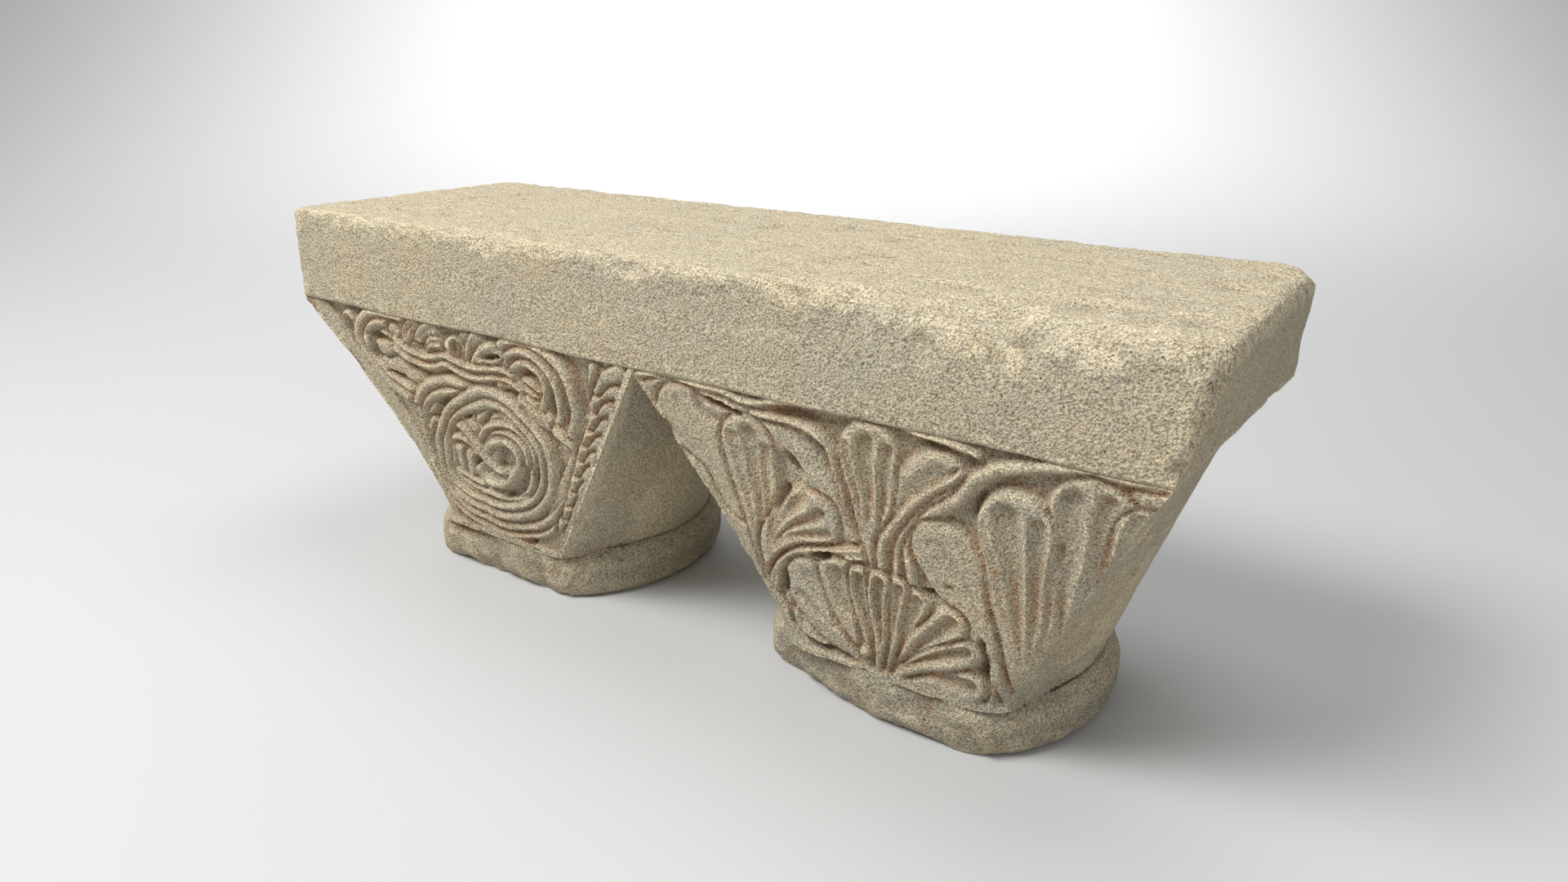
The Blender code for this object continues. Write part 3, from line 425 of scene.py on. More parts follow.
def upperLeaf(face):
    # the upright leaf in the middle, the doubled stem beside it and the arch that the stem ends in
    leaf(face, (8, 78), (50, 153), 30, bend=9, level=-0.6, hollow=0)
    flute(face, (14, 90), (47, 147), 16, bend=8, depth=2.6)
    leaf(face, (3, 72), (1, 162), 36, level=0, hollow=0)
    flute(face, (2, 90), (-1, 156), 17, depth=5.4)
    flute(face, (0, 84), (-13, 149), 8, depth=3.0)
    flute(face, (6, 84), (14, 151), 10, depth=3.8)
    for shift in (0, 10):
        stem = [(8, 74), (11, 92), (23, 112), (38, 128), (54, 141)]
        strand(face, smoothPath([(u + shift, w) for u, w in stem]), 7)
    arch = [(27, 68), (26, 90), (36, 111), (51, 126), (63, 142), (84, 154), (120, 160), (157, 161)]
    strand(face, smoothPath(arch), 8, -0.5)
    pit(face, (65, 127), (4, 8), -25)
    pit(face, (-35, 154), (18, 2.0), 2, depth=1)
    pit(face, (38, 156), (14, 2.0), -8, depth=1)


def greatPalmette(face):
    # the largest palmette, which fills the right of the panel up to its arris
    leaf(face, (90, -6), (37, 111), 38, bend=-9, level=-0.6, hollow=0, root=0.5)
    flute(face, (72, 50), (38, 102), 13, bend=-4, depth=1.8)
    flute(face, (78, 52), (54, 106), 8, bend=-4, depth=1.4)
    leaf(face, (98, -6), (126, 157), 46, bend=-3, level=-0.4, hollow=0, root=0.35)
    leaf(face, (98, -6), (150, 146), 26, bend=-5, level=-0.6, hollow=0, root=0.35)
    flute(face, (101, 28), (113, 151), 18, bend=-2, depth=5.2)
    flute(face, (103, 22), (130, 152), 13, bend=-3, depth=4.4)
    flute(face, (104, 18), (144, 145), 11, bend=-5, depth=4.0)
    leaf(face, (92, -6), (83, 141), 42, bend=-3, level=0, hollow=0, root=0.3)
    flute(face, (90, 32), (78, 135), 19, bend=-1, depth=5.4)
    flute(face, (93, 28), (96, 130), 12, bend=-1, depth=4.0)
    flute(face, (96, 24), (106, 118), 7, bend=-1, depth=2.6)
    flute(face, (87, 40), (66, 120), 7, bend=-1, depth=2.2)
    pit(face, (69, 30), (2.6, 14), 8)
    pit(face, (50, 74), (2.4, 1.2), 20, depth=-4)


def footPalmette(face):
    # the fan that stands on the foot of the panel, with a pearl on its stem
    leaf(face, (2, 6), (-54, 22), 26, bend=-3, level=-0.8, hollow=0, root=0.4)
    flute(face, (-20, 8), (-50, 20), 9, bend=-2, depth=2.4)
    leaf(face, (2, 4), (-54, 58), 36, bend=6, level=-0.5, hollow=0, root=0.35)
    flute(face, (-16, 28), (-45, 56), 15, bend=3, depth=2.4)
    flute(face, (-18, 20), (-50, 40), 9, bend=2, depth=2.0)
    leaf(face, (3, 2), (-26, 71), 27, bend=3, hollow=0, root=0.3)
    flute(face, (-4, 22), (-24, 67), 14, bend=3, depth=4.4)
    flute(face, (-2, 18), (-13, 65), 7, bend=2, depth=3.0)
    for tip, width, bend in (((71, 14), 22, 3), ((33, 67), 17, 0), ((56, 58), 22, 1), ((67, 38), 18, 2)):
        leaf(face, (9, -4), tip, width, bend, hollow=0, root=0.35)
        flute(face, (14, 4), (tip[0] * 0.95, tip[1] * 0.95), width * 0.6, bend, 5.0, root=0.2)
    for tip in (-8, 19, 6):
        leaf(face, (4 + tip * 0.3, -3), (tip, 71), 15, hollow=0, root=0.4)
        flute(face, (4 + tip * 0.4, 14), (tip, 67), 9, depth=5.0)
    pearl(face, (-3, 12), 5, 1.2)
    pits = (((-32, 68), (6, 2.4), 15), ((-34, 3), (13, 1.8), -22), ((-59, 42), (3, 9), 0),
            ((40, 64), (8, 2), -14))
    for centre, radii, turn in pits:
        pit(face, centre, radii, turn)


def palmettePanel(face):
    border(face, "leftEdge", 24, -1.0, 1.5)
    border(face, "rightEdge", 12, -1.5)
    leftPalmette(face)
    upperLeaf(face)
    greatPalmette(face)
    footPalmette(face)
    rib = [(-160, 157), (-130, 162), (-95, 159), (-76, 156), (-50, 161), (0, 163), (36, 161), (64, 155)]
    strand(face, smoothPath(rib), 5.5)


def backPanel(face):
    # plainer: one broad palmette inside a flat margin
    border(face, "leftEdge", 14, 0.0)
    border(face, "rightEdge", 14, 0.0)
    for spread, width in ((-104, 30), (104, 30), (-72, 32), (72, 32), (-38, 34), (38, 34), (0, 36)):
        leaf(face, (spread * 0.22, 14), (spread, 152 - 0.1 * abs(spread)), width, hollow=2.0, rim=4,
             root=0.35)


# the slab

slab = {
    "length": 0.630,  # at its underside
    "depth": 0.227,
    "height": 0.068,
    "underside": 0.195,
    "endLean": 0.017,  # each end leans out by this much at the top
    "leftExtra": 0.017,  # the left end reaches out by this much more than the right
    "frontLean": 0.0034,  # the front and back lean in by this much at the top
    "cornerRound": 0.022,  # seen from above, at the top
    "footRound": 0.003,  # the same corners at the underside
    "backEndLean": 0.005,  # at the back, where the ends are cut steeper
    "frontWear": 0.0065,  # worn rounding of the upper front edge
    "brokenWear": 0.022,  # how much deeper it goes where the edge is broken down
    "brokenAt": 0.22,  # the middle of that place, along the length
    "brokenSpan": 0.075,
    "lowWear": 0.0035,  # the lower front edge
    "backWear": 0.009,  # the upper back edge
    "endWear": 0.013,  # the same edge at the two ends
    "cuts": (99, 49, 17),  # loops across its length (doubled), depth and height
}


def spreadTowardsEnds(t, pull):
    # moves evenly spaced loops closer together near both ends
    return np.sin(t * math.pi / 2 * pull) / math.sin(math.pi / 2 * pull)


def edgeWear(x):
    ripple = 0.22 * np.sin(47 * x + 0.7) + 0.18 * np.sin(113 * x + 2.1) + 0.14 * np.sin(271 * x + 4.0)
    broken = np.exp(-(((x - slab["brokenAt"]) / slab["brokenSpan"]) ** 2))
    broken = broken + 0.25 * np.exp(-(((x + 0.12) / 0.025) ** 2))
    return slab["frontWear"] * (1 + ripple) + slab["brokenWear"] * broken


def roundedBack(inset, off, wear):
    # how far a point near an edge goes in and away from that edge, so that the edge becomes round
    width = wear * 1.15
    height = wear * 0.9
    sideways = np.clip(width - inset, 0, None) / width
    away = np.clip(height - off, 0, None) / height
    worn = (sideways > 0) & (away > 0)
    draw = np.where(worn, 1 - 1 / np.maximum(np.hypot(sideways, away), 1), 0)
    return draw * sideways * width, draw * away * height


def buildSlab():
    height = slab["height"]
    bpy.ops.mesh.primitive_cube_add(size=2, location=(0, 0, 0))
    piece = newest("twinCapital")
    cutAlong(piece, 0, 1)
    for axis, cuts in enumerate(slab["cuts"]):
        cutAlong(piece, axis, cuts)
    t = pointsOf(piece)
    t[:, 1] = spreadTowardsEnds(t[:, 1], 0.75)
    t[:, 2] = spreadTowardsEnds(t[:, 2], 0.6)
    z = (t[:, 2] + 1) / 2 * height
    lean = slab["endLean"] + (slab["backEndLean"] - slab["endLean"]) * (t[:, 1] + 1) / 2
    halfX = slab["length"] / 2 + slab["endLean"] - lean * (1 - z / height) + slab["leftExtra"] * (t[:, 0] < 0)
    halfY = slab["depth"] / 2 - slab["frontLean"] * z / height
    x = t[:, 0] * halfX
    y = t[:, 1] * halfY

    # corners seen from above: the square corner is drawn in to a quarter circle
    corner = slab["footRound"] + (slab["cornerRound"] - slab["footRound"]) * z / height
    offX = np.abs(x) - (halfX - corner)
    offY = np.abs(y) - (halfY - corner)
    inCorner = (offX > 0) & (offY > 0)
    reach = np.maximum(offX, offY)
    length = np.maximum(np.hypot(offX, offY), 1e-9)
    x = np.where(inCorner, np.sign(x) * (halfX - corner + offX / length * reach), x)
    y = np.where(inCorner, np.sign(y) * (halfY - corner + offY / length * reach), y)
    outX = np.where(inCorner, offX / length, (offX - offY > 0) * 1.0) * np.sign(x)
    outY = np.where(inCorner, offY / length, (offX - offY <= 0) * 1.0) * np.sign(y)
    inset = np.where(inCorner, corner - reach, np.minimum(halfX - np.abs(x), halfY - np.abs(y)))

    # the upper edge is worn round, most of all at the front
    front = np.clip(-outY, 0, 1) ** 2
    back = np.clip(outY, 0, 1) ** 2
    wear = edgeWear(x) * front + slab["backWear"] * back + slab["endWear"] * (1 - front - back)
    lowWear = slab["lowWear"] * (front * (1.2 + 0.4 * np.sin(38 * x)) + 0.3)
    topIn, down = roundedBack(inset, height - z, wear)
    lowIn, up = roundedBack(inset, z, lowWear)
    x = x - outX * (topIn + lowIn)
    y = y - outY * (topIn + lowIn)
    z = z - down + up
    setPoints(piece, np.column_stack([x, y, slab["underside"] + z]))
    return piece


# the bells

bell = {
    "height": 0.159,
    "footRadius": 0.102,
    "frontReach": 0.0925,  # the carved front's foot lies this far in front of the neck's axis
    "frontFlat": 0.045,  # half the width over which that foot is flat
    "meeting": 0.0008,  # how far each bell runs past the middle, where the two meet under the slab
    "setback": 0.0010,  # the upper edges stand this far in from the slab's
    "slabOverlap": 0.004,  # how far it runs up into the slab, so that the two join
    "neckOverlap": 0.003,
    "backFootAngle": 45.0,  # degrees, where the back arrises stand on the round foot
    "tuck": 1.3,  # slope of its front and back inside the slab
    "carvingDepth": 0.008,
    "backCarvingDepth": 0.005,
    "frontColumns": 216,
    "sideColumns": 16,
    "backColumns": 64,
    "rowCuts": 53,  # loops in each half of its height
}

# The two front arrises at the foot, from the neck's axis, and how each one curves on its way up.
leftBell = {
    "name": "leftBell",
    "side": -1,
    "leftFoot": (-0.066, -0.081),
    "rightFoot": (0.066, -0.090),
    "leftFlare": 1.45,
    "rightFlare": 1.0,
    "panel": medallionPanel,
}
rightBell = {
    "name": "rightBell",
    "side": 1,
    "leftFoot": (-0.076, -0.074),
    "rightFoot": (0.080, -0.081),
    "leftFlare": 1.15,
    "rightFlare": 1.0,
    "panel": palmettePanel,
}

neck = {
    "radius": 0.1115,
    "height": 0.036,
    "spacing": 0.322,  # between the two axes
    "brokenReach": 0.0915,  # the front is broken off about flat, this far from the axis
    "brokenDepth": 0.0042,  # how uneven the break is
    "brokenFoot": 0.007,  # how far the break rounds in at the foot
    "shoulder": 0.0065,  # rounding of its lower and upper edge
    "segments": 160,
    "rowCuts": 13,
}

halfTop = slab["length"] / 4
halfDepth = slab["depth"] / 2 - bell["setback"]


def frontOf(one, across, rise):
    # front surface of a bell: across runs 0 to 1 from the left arris to the right, rise 0 to 1 up to the slab
    leftX, leftY = one["leftFoot"]
    rightX, rightY = one["rightFoot"]
    neckX = one["side"] * neck["spacing"] / 2
    foot = leftX + (rightX - leftX) * across
    arris = np.where(foot < 0, abs(leftX), rightX)
    arrisY = np.where(foot < 0, leftY, rightY)
    turn = np.clip((np.abs(foot) - bell["frontFlat"]) / (arris - bell["frontFlat"]), 0, 1)
    footY = -bell["frontReach"] + (arrisY + bell["frontReach"]) * turn**2
    inner = halfTop + bell["meeting"]
    outer = halfTop - bell["setback"]
    topLeft = -outer - slab["leftExtra"] if one["side"] < 0 else -inner
    topRight = inner if one["side"] < 0 else outer
    top = one["side"] * halfTop + topLeft + (topRight - topLeft) * across
    flare = one["leftFlare"] + (one["rightFlare"] - one["leftFlare"]) * across
    x = neckX + foot + (top - neckX - foot) * rise**flare
    y = footY + (-halfDepth - footY) * rise
    return x, y


def arris(foot, top, flare):
    return {"radius": math.hypot(*foot), "angle": math.atan2(foot[1], foot[0]), "top": top, "flare": flare}


def sideOf(one, start, end, across, rise):
    # a smooth side, from one arris round to the next: an arc at the foot, straight under the slab
    ease = 0.25
    fromStart = np.clip(1 - across / ease, 0, 1) ** 2
    fromEnd = np.clip(1 - (1 - across) / ease, 0, 1) ** 2
    radius = (bell["footRadius"] + (start["radius"] - bell["footRadius"]) * fromStart
              + (end["radius"] - bell["footRadius"]) * fromEnd)
    sweep = (end["angle"] - start["angle"]) % (2 * math.pi)
    angle = start["angle"] + sweep * across
    footX = one["side"] * neck["spacing"] / 2 + radius * np.cos(angle)
    footY = radius * np.sin(angle)
    topX = start["top"][0] + (end["top"][0] - start["top"][0]) * across
    topY = start["top"][1] + (end["top"][1] - start["top"][1]) * across
    flare = start["flare"] + (end["flare"] - start["flare"]) * across
    return footX + (topX - footX) * rise**flare, footY + (topY - footY) * rise


def faceFor(one, rise, x, leftX, rightX, facing):
    scale = panelSize["halfWidth"] / halfTop
    u = (x - one["side"] * halfTop) * scale * facing
    leftEdge = (x - leftX) * scale * panelSize["arrisLean"]
    rightEdge = (rightX - x) * scale * panelSize["arrisLean"]
    return newFace(u, rise * panelSize["height"], leftEdge, rightEdge)


def fadeAtEdges(across, rise):
    # keeps the carving off the arrises and the foot, where other faces join on
    return np.clip(np.minimum(across, 1 - across) / 0.006, 0, 1) * np.clip(rise / 0.02, 0, 1)


def buildBell(one):
    columns = bell["frontColumns"] + 2 * bell["sideColumns"] + bell["backColumns"]
    low = neck["height"] - bell["neckOverlap"]
    high = slab["underside"] + bell["slabOverlap"]
    centre = (one["side"] * neck["spacing"] / 2, 0, (low + high) / 2)
    bpy.ops.mesh.primitive_cylinder_add(vertices=columns, radius=bell["footRadius"], depth=high - low,
                                        end_fill_type="NGON", location=centre)
    piece = newest(one["name"])
    applyPlace(piece)
    cutAlong(piece, 2, 1)
    cutAlong(piece, 2, bell["rowCuts"])

    # each vertical line of the cylinder becomes one line of the bell, beginning at the front's left arris
    points = pointsOf(piece)
    angle = np.arctan2(points[:, 1], points[:, 0] - centre[0]) - math.pi / 2
    column = np.round(angle / (2 * math.pi) * columns).astype(int) % columns
    rise = np.clip((points[:, 2] - neck["height"]) / bell["height"], 0, 1)
    first = bell["frontColumns"]
    second = first + bell["sideColumns"]
    third = second + bell["backColumns"]

    x = points[:, 0].copy()
    y = points[:, 1].copy()
    on = column < first
    across = column[on] / first
    frontX, frontY = frontOf(one, across, rise[on])
    leftX, _ = frontOf(one, np.zeros_like(across), rise[on])
    rightX, _ = frontOf(one, np.ones_like(across), rise[on])
    face = faceFor(one, rise[on], frontX, leftX, rightX, 1)
    one["panel"](face)
    depth = face["height"] * bell["carvingDepth"] / panelSize["depth"]
    x[on] = frontX
    y[on] = frontY - depth * fadeAtEdges(across, rise[on])

    leftTop, _ = frontOf(one, 0.0, 1.0)
    rightTop, _ = frontOf(one, 1.0, 1.0)
    corner = math.radians(bell["backFootAngle"])
    backFoot = (bell["footRadius"] * math.cos(corner), bell["footRadius"] * math.sin(corner))
    frontLeft = arris(one["leftFoot"], (leftTop, -halfDepth), one["leftFlare"])
    frontRight = arris(one["rightFoot"], (rightTop, -halfDepth), one["rightFlare"])
    backRight = arris(backFoot, (rightTop, halfDepth), one["rightFlare"])
    backLeft = arris((-backFoot[0], backFoot[1]), (leftTop, halfDepth), one["leftFlare"])

    on = (column >= first) & (column < second)
    x[on], y[on] = sideOf(one, frontRight, backRight, (column[on] - first) / bell["sideColumns"], rise[on])
    on = column >= third
    x[on], y[on] = sideOf(one, backLeft, frontLeft, (column[on] - third) / bell["sideColumns"], rise[on])

    on = (column >= second) & (column < third)
    across = (column[on] - second) / bell["backColumns"]
    backX, backY = sideOf(one, backRight, backLeft, across, rise[on])
    firstX, _ = sideOf(one, backRight, backLeft, np.zeros_like(across), rise[on])
    lastX, _ = sideOf(one, backRight, backLeft, np.ones_like(across), rise[on])
    face = faceFor(one, rise[on], backX, lastX, firstX, -1)
    backPanel(face)
    depth = face["height"] * bell["backCarvingDepth"] / panelSize["depth"]
    x[on] = backX
    y[on] = backY + depth * fadeAtEdges(across, rise[on])
    # inside the slab it draws in, so that no face of the two lies in one plane
    withinSlab = np.maximum(points[:, 2] - slab["underside"], 0)
    y = y - np.sign(y) * withinSlab * bell["tuck"]
    setPoints(piece, np.column_stack([x, y, points[:, 2]]))
    return piece


# the necks

def buildNeck(one):
    neckX = one["side"] * neck["spacing"] / 2
    bpy.ops.mesh.primitive_cylinder_add(vertices=neck["segments"], radius=neck["radius"],
                                        depth=neck["height"], end_fill_type="NGON",
                                        location=(neckX, 0, neck["height"] / 2))
    piece = newest(one["name"] + "Neck")
    applyPlace(piece)
    cutAlong(piece, 2, neck["rowCuts"])
    points = pointsOf(piece)
    t = points[:, 2] / neck["height"]
    low = 0.8 * np.clip(1 - t / 0.3, 0, 1) ** 2
    drawIn = neck["shoulder"] * (low + 1.3 * np.clip((t - 0.6) / 0.4, 0, 1) ** 2)
    share = 1 - drawIn / neck["radius"]
    x = (points[:, 0] - neckX) * share
    y = points[:, 1] * share
    lumps = grainAt(points, 0.022, 3.1) + 0.5 * grainAt(points, 0.009, 7.7)
    reach = neck["brokenReach"] + neck["brokenDepth"] * np.minimum(lumps, 0.3)
    reach = reach - neck["brokenFoot"] * np.clip(1 - t / 0.45, 0, 1) ** 2
    if one["side"] > 0:
        # the break slants back towards the left
        reach = reach - 0.30 * np.maximum(0, -0.012 - x)
    else:
        # a nick under the carving
        reach = reach - 0.006 * np.exp(-(((x + 0.04) / 0.022) ** 2) - ((t - 0.78) / 0.07) ** 2)
    y = np.maximum(y, -reach)
    setPoints(piece, np.column_stack([x + neckX, y, points[:, 2]]))
    return piece


# age: unevenness and chips; and the hollows, creases, ridges and tops that the colour reads for painted
# shade, painted highlight and rust stains

wear = {
    "swell": 0.0007,  # slow unevenness of the dressed faces
    "swellSize": 0.05,
    "grain": 0.0005,
    "grainSizes": (0.008, 0.0035),
    "streaks": 0.0005,  # tooling along the top
    "nicks": 0.003,  # small holes in the top
    "chips": 0.0065,  # along the slab's edges
    "chipSizes": (0.017, 0.007),
    "rubbed": 0.0022,  # along the edges of the bells
    "arris": 0.0022,  # lumps along the right bell's outer arris
    "arrisWidth": 0.006,
    "arrisRounds": 22,  # how far that arris is rounded
    "break": 0.0035,  # lumps where the slab's upper edge is broken down
    "breakSpan": 0.09,
    "breakDepth": 0.035,  # how far down from the top they go
}


def meansAround(piece, values, rounds):
    # each point takes the mean of itself and its neighbours, again and again
    count = len(piece.data.vertices)
    ends = np.empty(len(piece.data.edges) * 2, dtype=np.int64)
    piece.data.edges.foreach_get("vertices", ends)
    one, other = ends.reshape(-1, 2).T
    shared = np.maximum(np.bincount(one, minlength=count) + np.bincount(other, minlength=count), 1)
    values = values.copy()
    for _ in range(rounds):
        for k in range(values.shape[1]):
            total = (np.bincount(one, values[other, k], minlength=count)
                     + np.bincount(other, values[one, k], minlength=count))
            values[:, k] = (values[:, k] + total / shared) / 2
    return values


def hollowness(piece, rounds):
    # above 0 in a hollow and below 0 on a ridge, in metres
    points = pointsOf(piece)
    return ((meansAround(piece, points, rounds) - points) * normalsOf(piece)).sum(axis=1)


def arrisWear(points):
    # near the right bell's outer arris: 1 on it, fading to each side
    height = np.clip((points[:, 2] - neck["height"]) / bell["height"], 0, 1)
    footX = neck["spacing"] / 2 + rightBell["rightFoot"][0]
    off = points[:, 0] - footX - (2 * halfTop - footX) * height
    span = np.where(off < 0, wear["arrisWidth"], 2.5 * wear["arrisWidth"])
    beside = np.exp(-((off / span) ** 2)) * np.clip((-0.02 - points[:, 1]) / 0.05, 0, 1)
    beside = beside * np.clip((points[:, 2] - 0.03) / 0.01, 0, 1)
    return beside * np.clip((slab["underside"] - points[:, 2]) / 0.05, 0, 1)


def roundArris(piece):
    # the right bell's outer arris has lost its edge, and the carving beside it has gone soft
    points = pointsOf(piece)
    share = arrisWear(points)[:, None]
    setPoints(piece, points + (meansAround(piece, points, wear["arrisRounds"]) - points) * share)


def onSlab(points):
    return points[:, 2] > slab["underside"] + bell["slabOverlap"]


def weather(piece):
    points = pointsOf(piece)
    normals = normalsOf(piece)
    top = slab["underside"] + slab["height"]
    up = np.clip(normals[:, 2], 0, 1) * (points[:, 2] > top - 0.03)
    high = onSlab(points)
    ridge = np.clip(-hollowness(piece, 14) / 0.0012, 0, 1)
    sink = wear["swell"] * (0.5 + 0.5 * grainAt(points, wear["swellSize"], 1.7))
    coarse, fine = wear["grainSizes"]
    grain = 0.5 + 0.5 * grainAt(points, coarse, 5.2) + 0.4 * grainAt(points, fine, 9.4)
    sink = sink + wear["grain"] * grain
    streak = grainAt(points, (0.09, 0.006, 0.05), 11.3) + 0.6 * grainAt(points, (0.05, 0.003, 0.05), 2.9)
    sink = sink + wear["streaks"] * np.clip(0.3 + streak, 0, 2) * up
    coarse, fine = wear["chipSizes"]
    chip = np.clip(grainAt(points, coarse, 21.5) - 0.12, 0, 1)
    chip = chip + 0.5 * np.clip(grainAt(points, fine, 33.1) - 0.1, 0, 1)
    sink = sink + np.where(high, wear["chips"], wear["rubbed"]) * chip * ridge
    # lumps where the right bell's outer arris is worn away, and on the slab where its edge broke
    lumps = 0.7 + 0.8 * grainAt(points, 0.02, 51.3) + 0.4 * grainAt(points, 0.009, 61.9)
    sink = sink + wear["arris"] * arrisWear(points) * np.clip(lumps, 0, 2)
    broken = np.exp(-(((points[:, 0] - slab["brokenAt"]) / wear["breakSpan"]) ** 2))
    broken = broken * np.clip((points[:, 2] - top + wear["breakDepth"]) / 0.012, 0, 1)
    broken = broken * (points[:, 1] < -0.06) * high
    sink = sink + wear["break"] * broken * np.clip(0.4 + lumps - 0.7, 0, 2)
    nick = np.clip(grainAt(points, (0.016, 0.008, 0.01), 41.2) - 0.32, 0, 0.4)
    sink = sink + wear["nicks"] * nick * up * 2
    points = points - normals * sink[:, None]
    points[:, 2] = np.maximum(points[:, 2], 0)
    setPoints(piece, points)


def storeOn(piece, name, values):
    layer = piece.data.attributes.new(name, "FLOAT", "POINT")
    layer.data.foreach_set("value", np.ascontiguousarray(values, dtype=np.float32))


def markShadeHighlightAndStains(piece):
    # hollows and ridges, fine and broad, for the stone's colour to read: painted shade in the hollows,
    # painted highlight on the ridges and on top, rust stains in the creases
    fine = hollowness(piece, 4) / 0.0006
    broad = hollowness(piece, 30) / 0.0030
    hollow = np.clip(broad, 0, 1)
    crease = np.clip(fine - 0.25, 0, 1) * np.where(onSlab(pointsOf(piece)), 0.2, 1)
    ridge = np.clip(-0.7 * fine - 0.3 * broad, 0, 1)
    topness = np.clip((normalsOf(piece)[:, 2] - 0.5) / 0.4, 0, 1)
    marks = (("hollow", hollow, 2), ("crease", crease, 1), ("ridge", ridge, 1), ("upper", topness, 2))
    for name, values, rounds in marks:
        storeOn(piece, name, meansAround(piece, values[:, None], rounds)[:, 0])


# the stone

stoneLook = {
    "body": (0.462, 0.392, 0.264),
    "grey": (0.395, 0.363, 0.280),
    # the colour of the painted highlight on top and along the edges and ridges
    "highlightCream": (0.70, 0.60, 0.41),
    "shade": (0.235, 0.205, 0.15),  # in the sunk parts
    "rust": (0.40, 0.215, 0.10),  # along the creases
    # the darkest colour: painted shade in the deepest hollows, and the dark pits
    "pitsAndDeepShade": (0.085, 0.062, 0.04),
    "warmGrain": (0.50, 0.37, 0.22),
    "coolGrain": (0.38, 0.38, 0.34),
    "roughness": 0.9,
    "patchiness": 0.7,  # how much of the stone turns grey
    # painted highlight: how much lighter the top is drawn
    "topHighlight": 0.42,
    # painted highlight: how much lighter the edges and ridges are drawn
    "edgeHighlight": 0.5,
    "hollowShade": 0.94,
    "toolLines": 0.22,
    "grainScale": 760.0,
    "grainTint": 0.35,
    "grainLight": (-0.46, 0.44),  # how much darker and lighter single grains are
    "footShade": 0.78,
    "pitScale": 400.0,
    "bump": 0.0015,
}


def addNode(tree, kind, **values):
    made = tree.nodes.new(kind)
    for key, value in values.items():
        made.inputs[key.replace("_", " ")].default_value = value
    return made


def noiseOf(tree, place, scale, detail=3.0, roughness=0.55):
    made = addNode(tree, "ShaderNodeTexNoise", Scale=scale, Detail=detail, Roughness=roughness)
    tree.links.new(place, made.inputs["Vector"])
    return made.outputs["Fac"]


def remap(tree, value, fromLow, fromHigh, toLow=0.0, toHigh=1.0):
    made = tree.nodes.new("ShaderNodeMapRange")
    tree.links.new(value, made.inputs["Value"])
    for key, number in (("From Min", fromLow), ("From Max", fromHigh), ("To Min", toLow), ("To Max", toHigh)):
        made.inputs[key].default_value = number
    return made.outputs["Result"]


def work(tree, operation, one, other):
    made = tree.nodes.new("ShaderNodeMath")
    made.operation = operation
    for k, value in enumerate((one, other)):
        if isinstance(value, (int, float)):
            made.inputs[k].default_value = value
        else:
            tree.links.new(value, made.inputs[k])
    return made.outputs[0]


def blendColour(tree, share, one, other, how="MIX"):
    made = tree.nodes.new("ShaderNodeMix")
    made.data_type = "RGBA"
    made.blend_type = how
    if isinstance(share, (int, float)):
        made.inputs[0].default_value = share
    else:
        tree.links.new(share, made.inputs[0])
    for k, value in ((6, one), (7, other)):
        if isinstance(value, tuple):
            made.inputs[k].default_value = (*value, 1)
        else:
            tree.links.new(value, made.inputs[k])
    return made.outputs[2]


def readAttribute(tree, name):
    made = tree.nodes.new("ShaderNodeAttribute")
    made.attribute_name = name
    return made.outputs["Fac"]


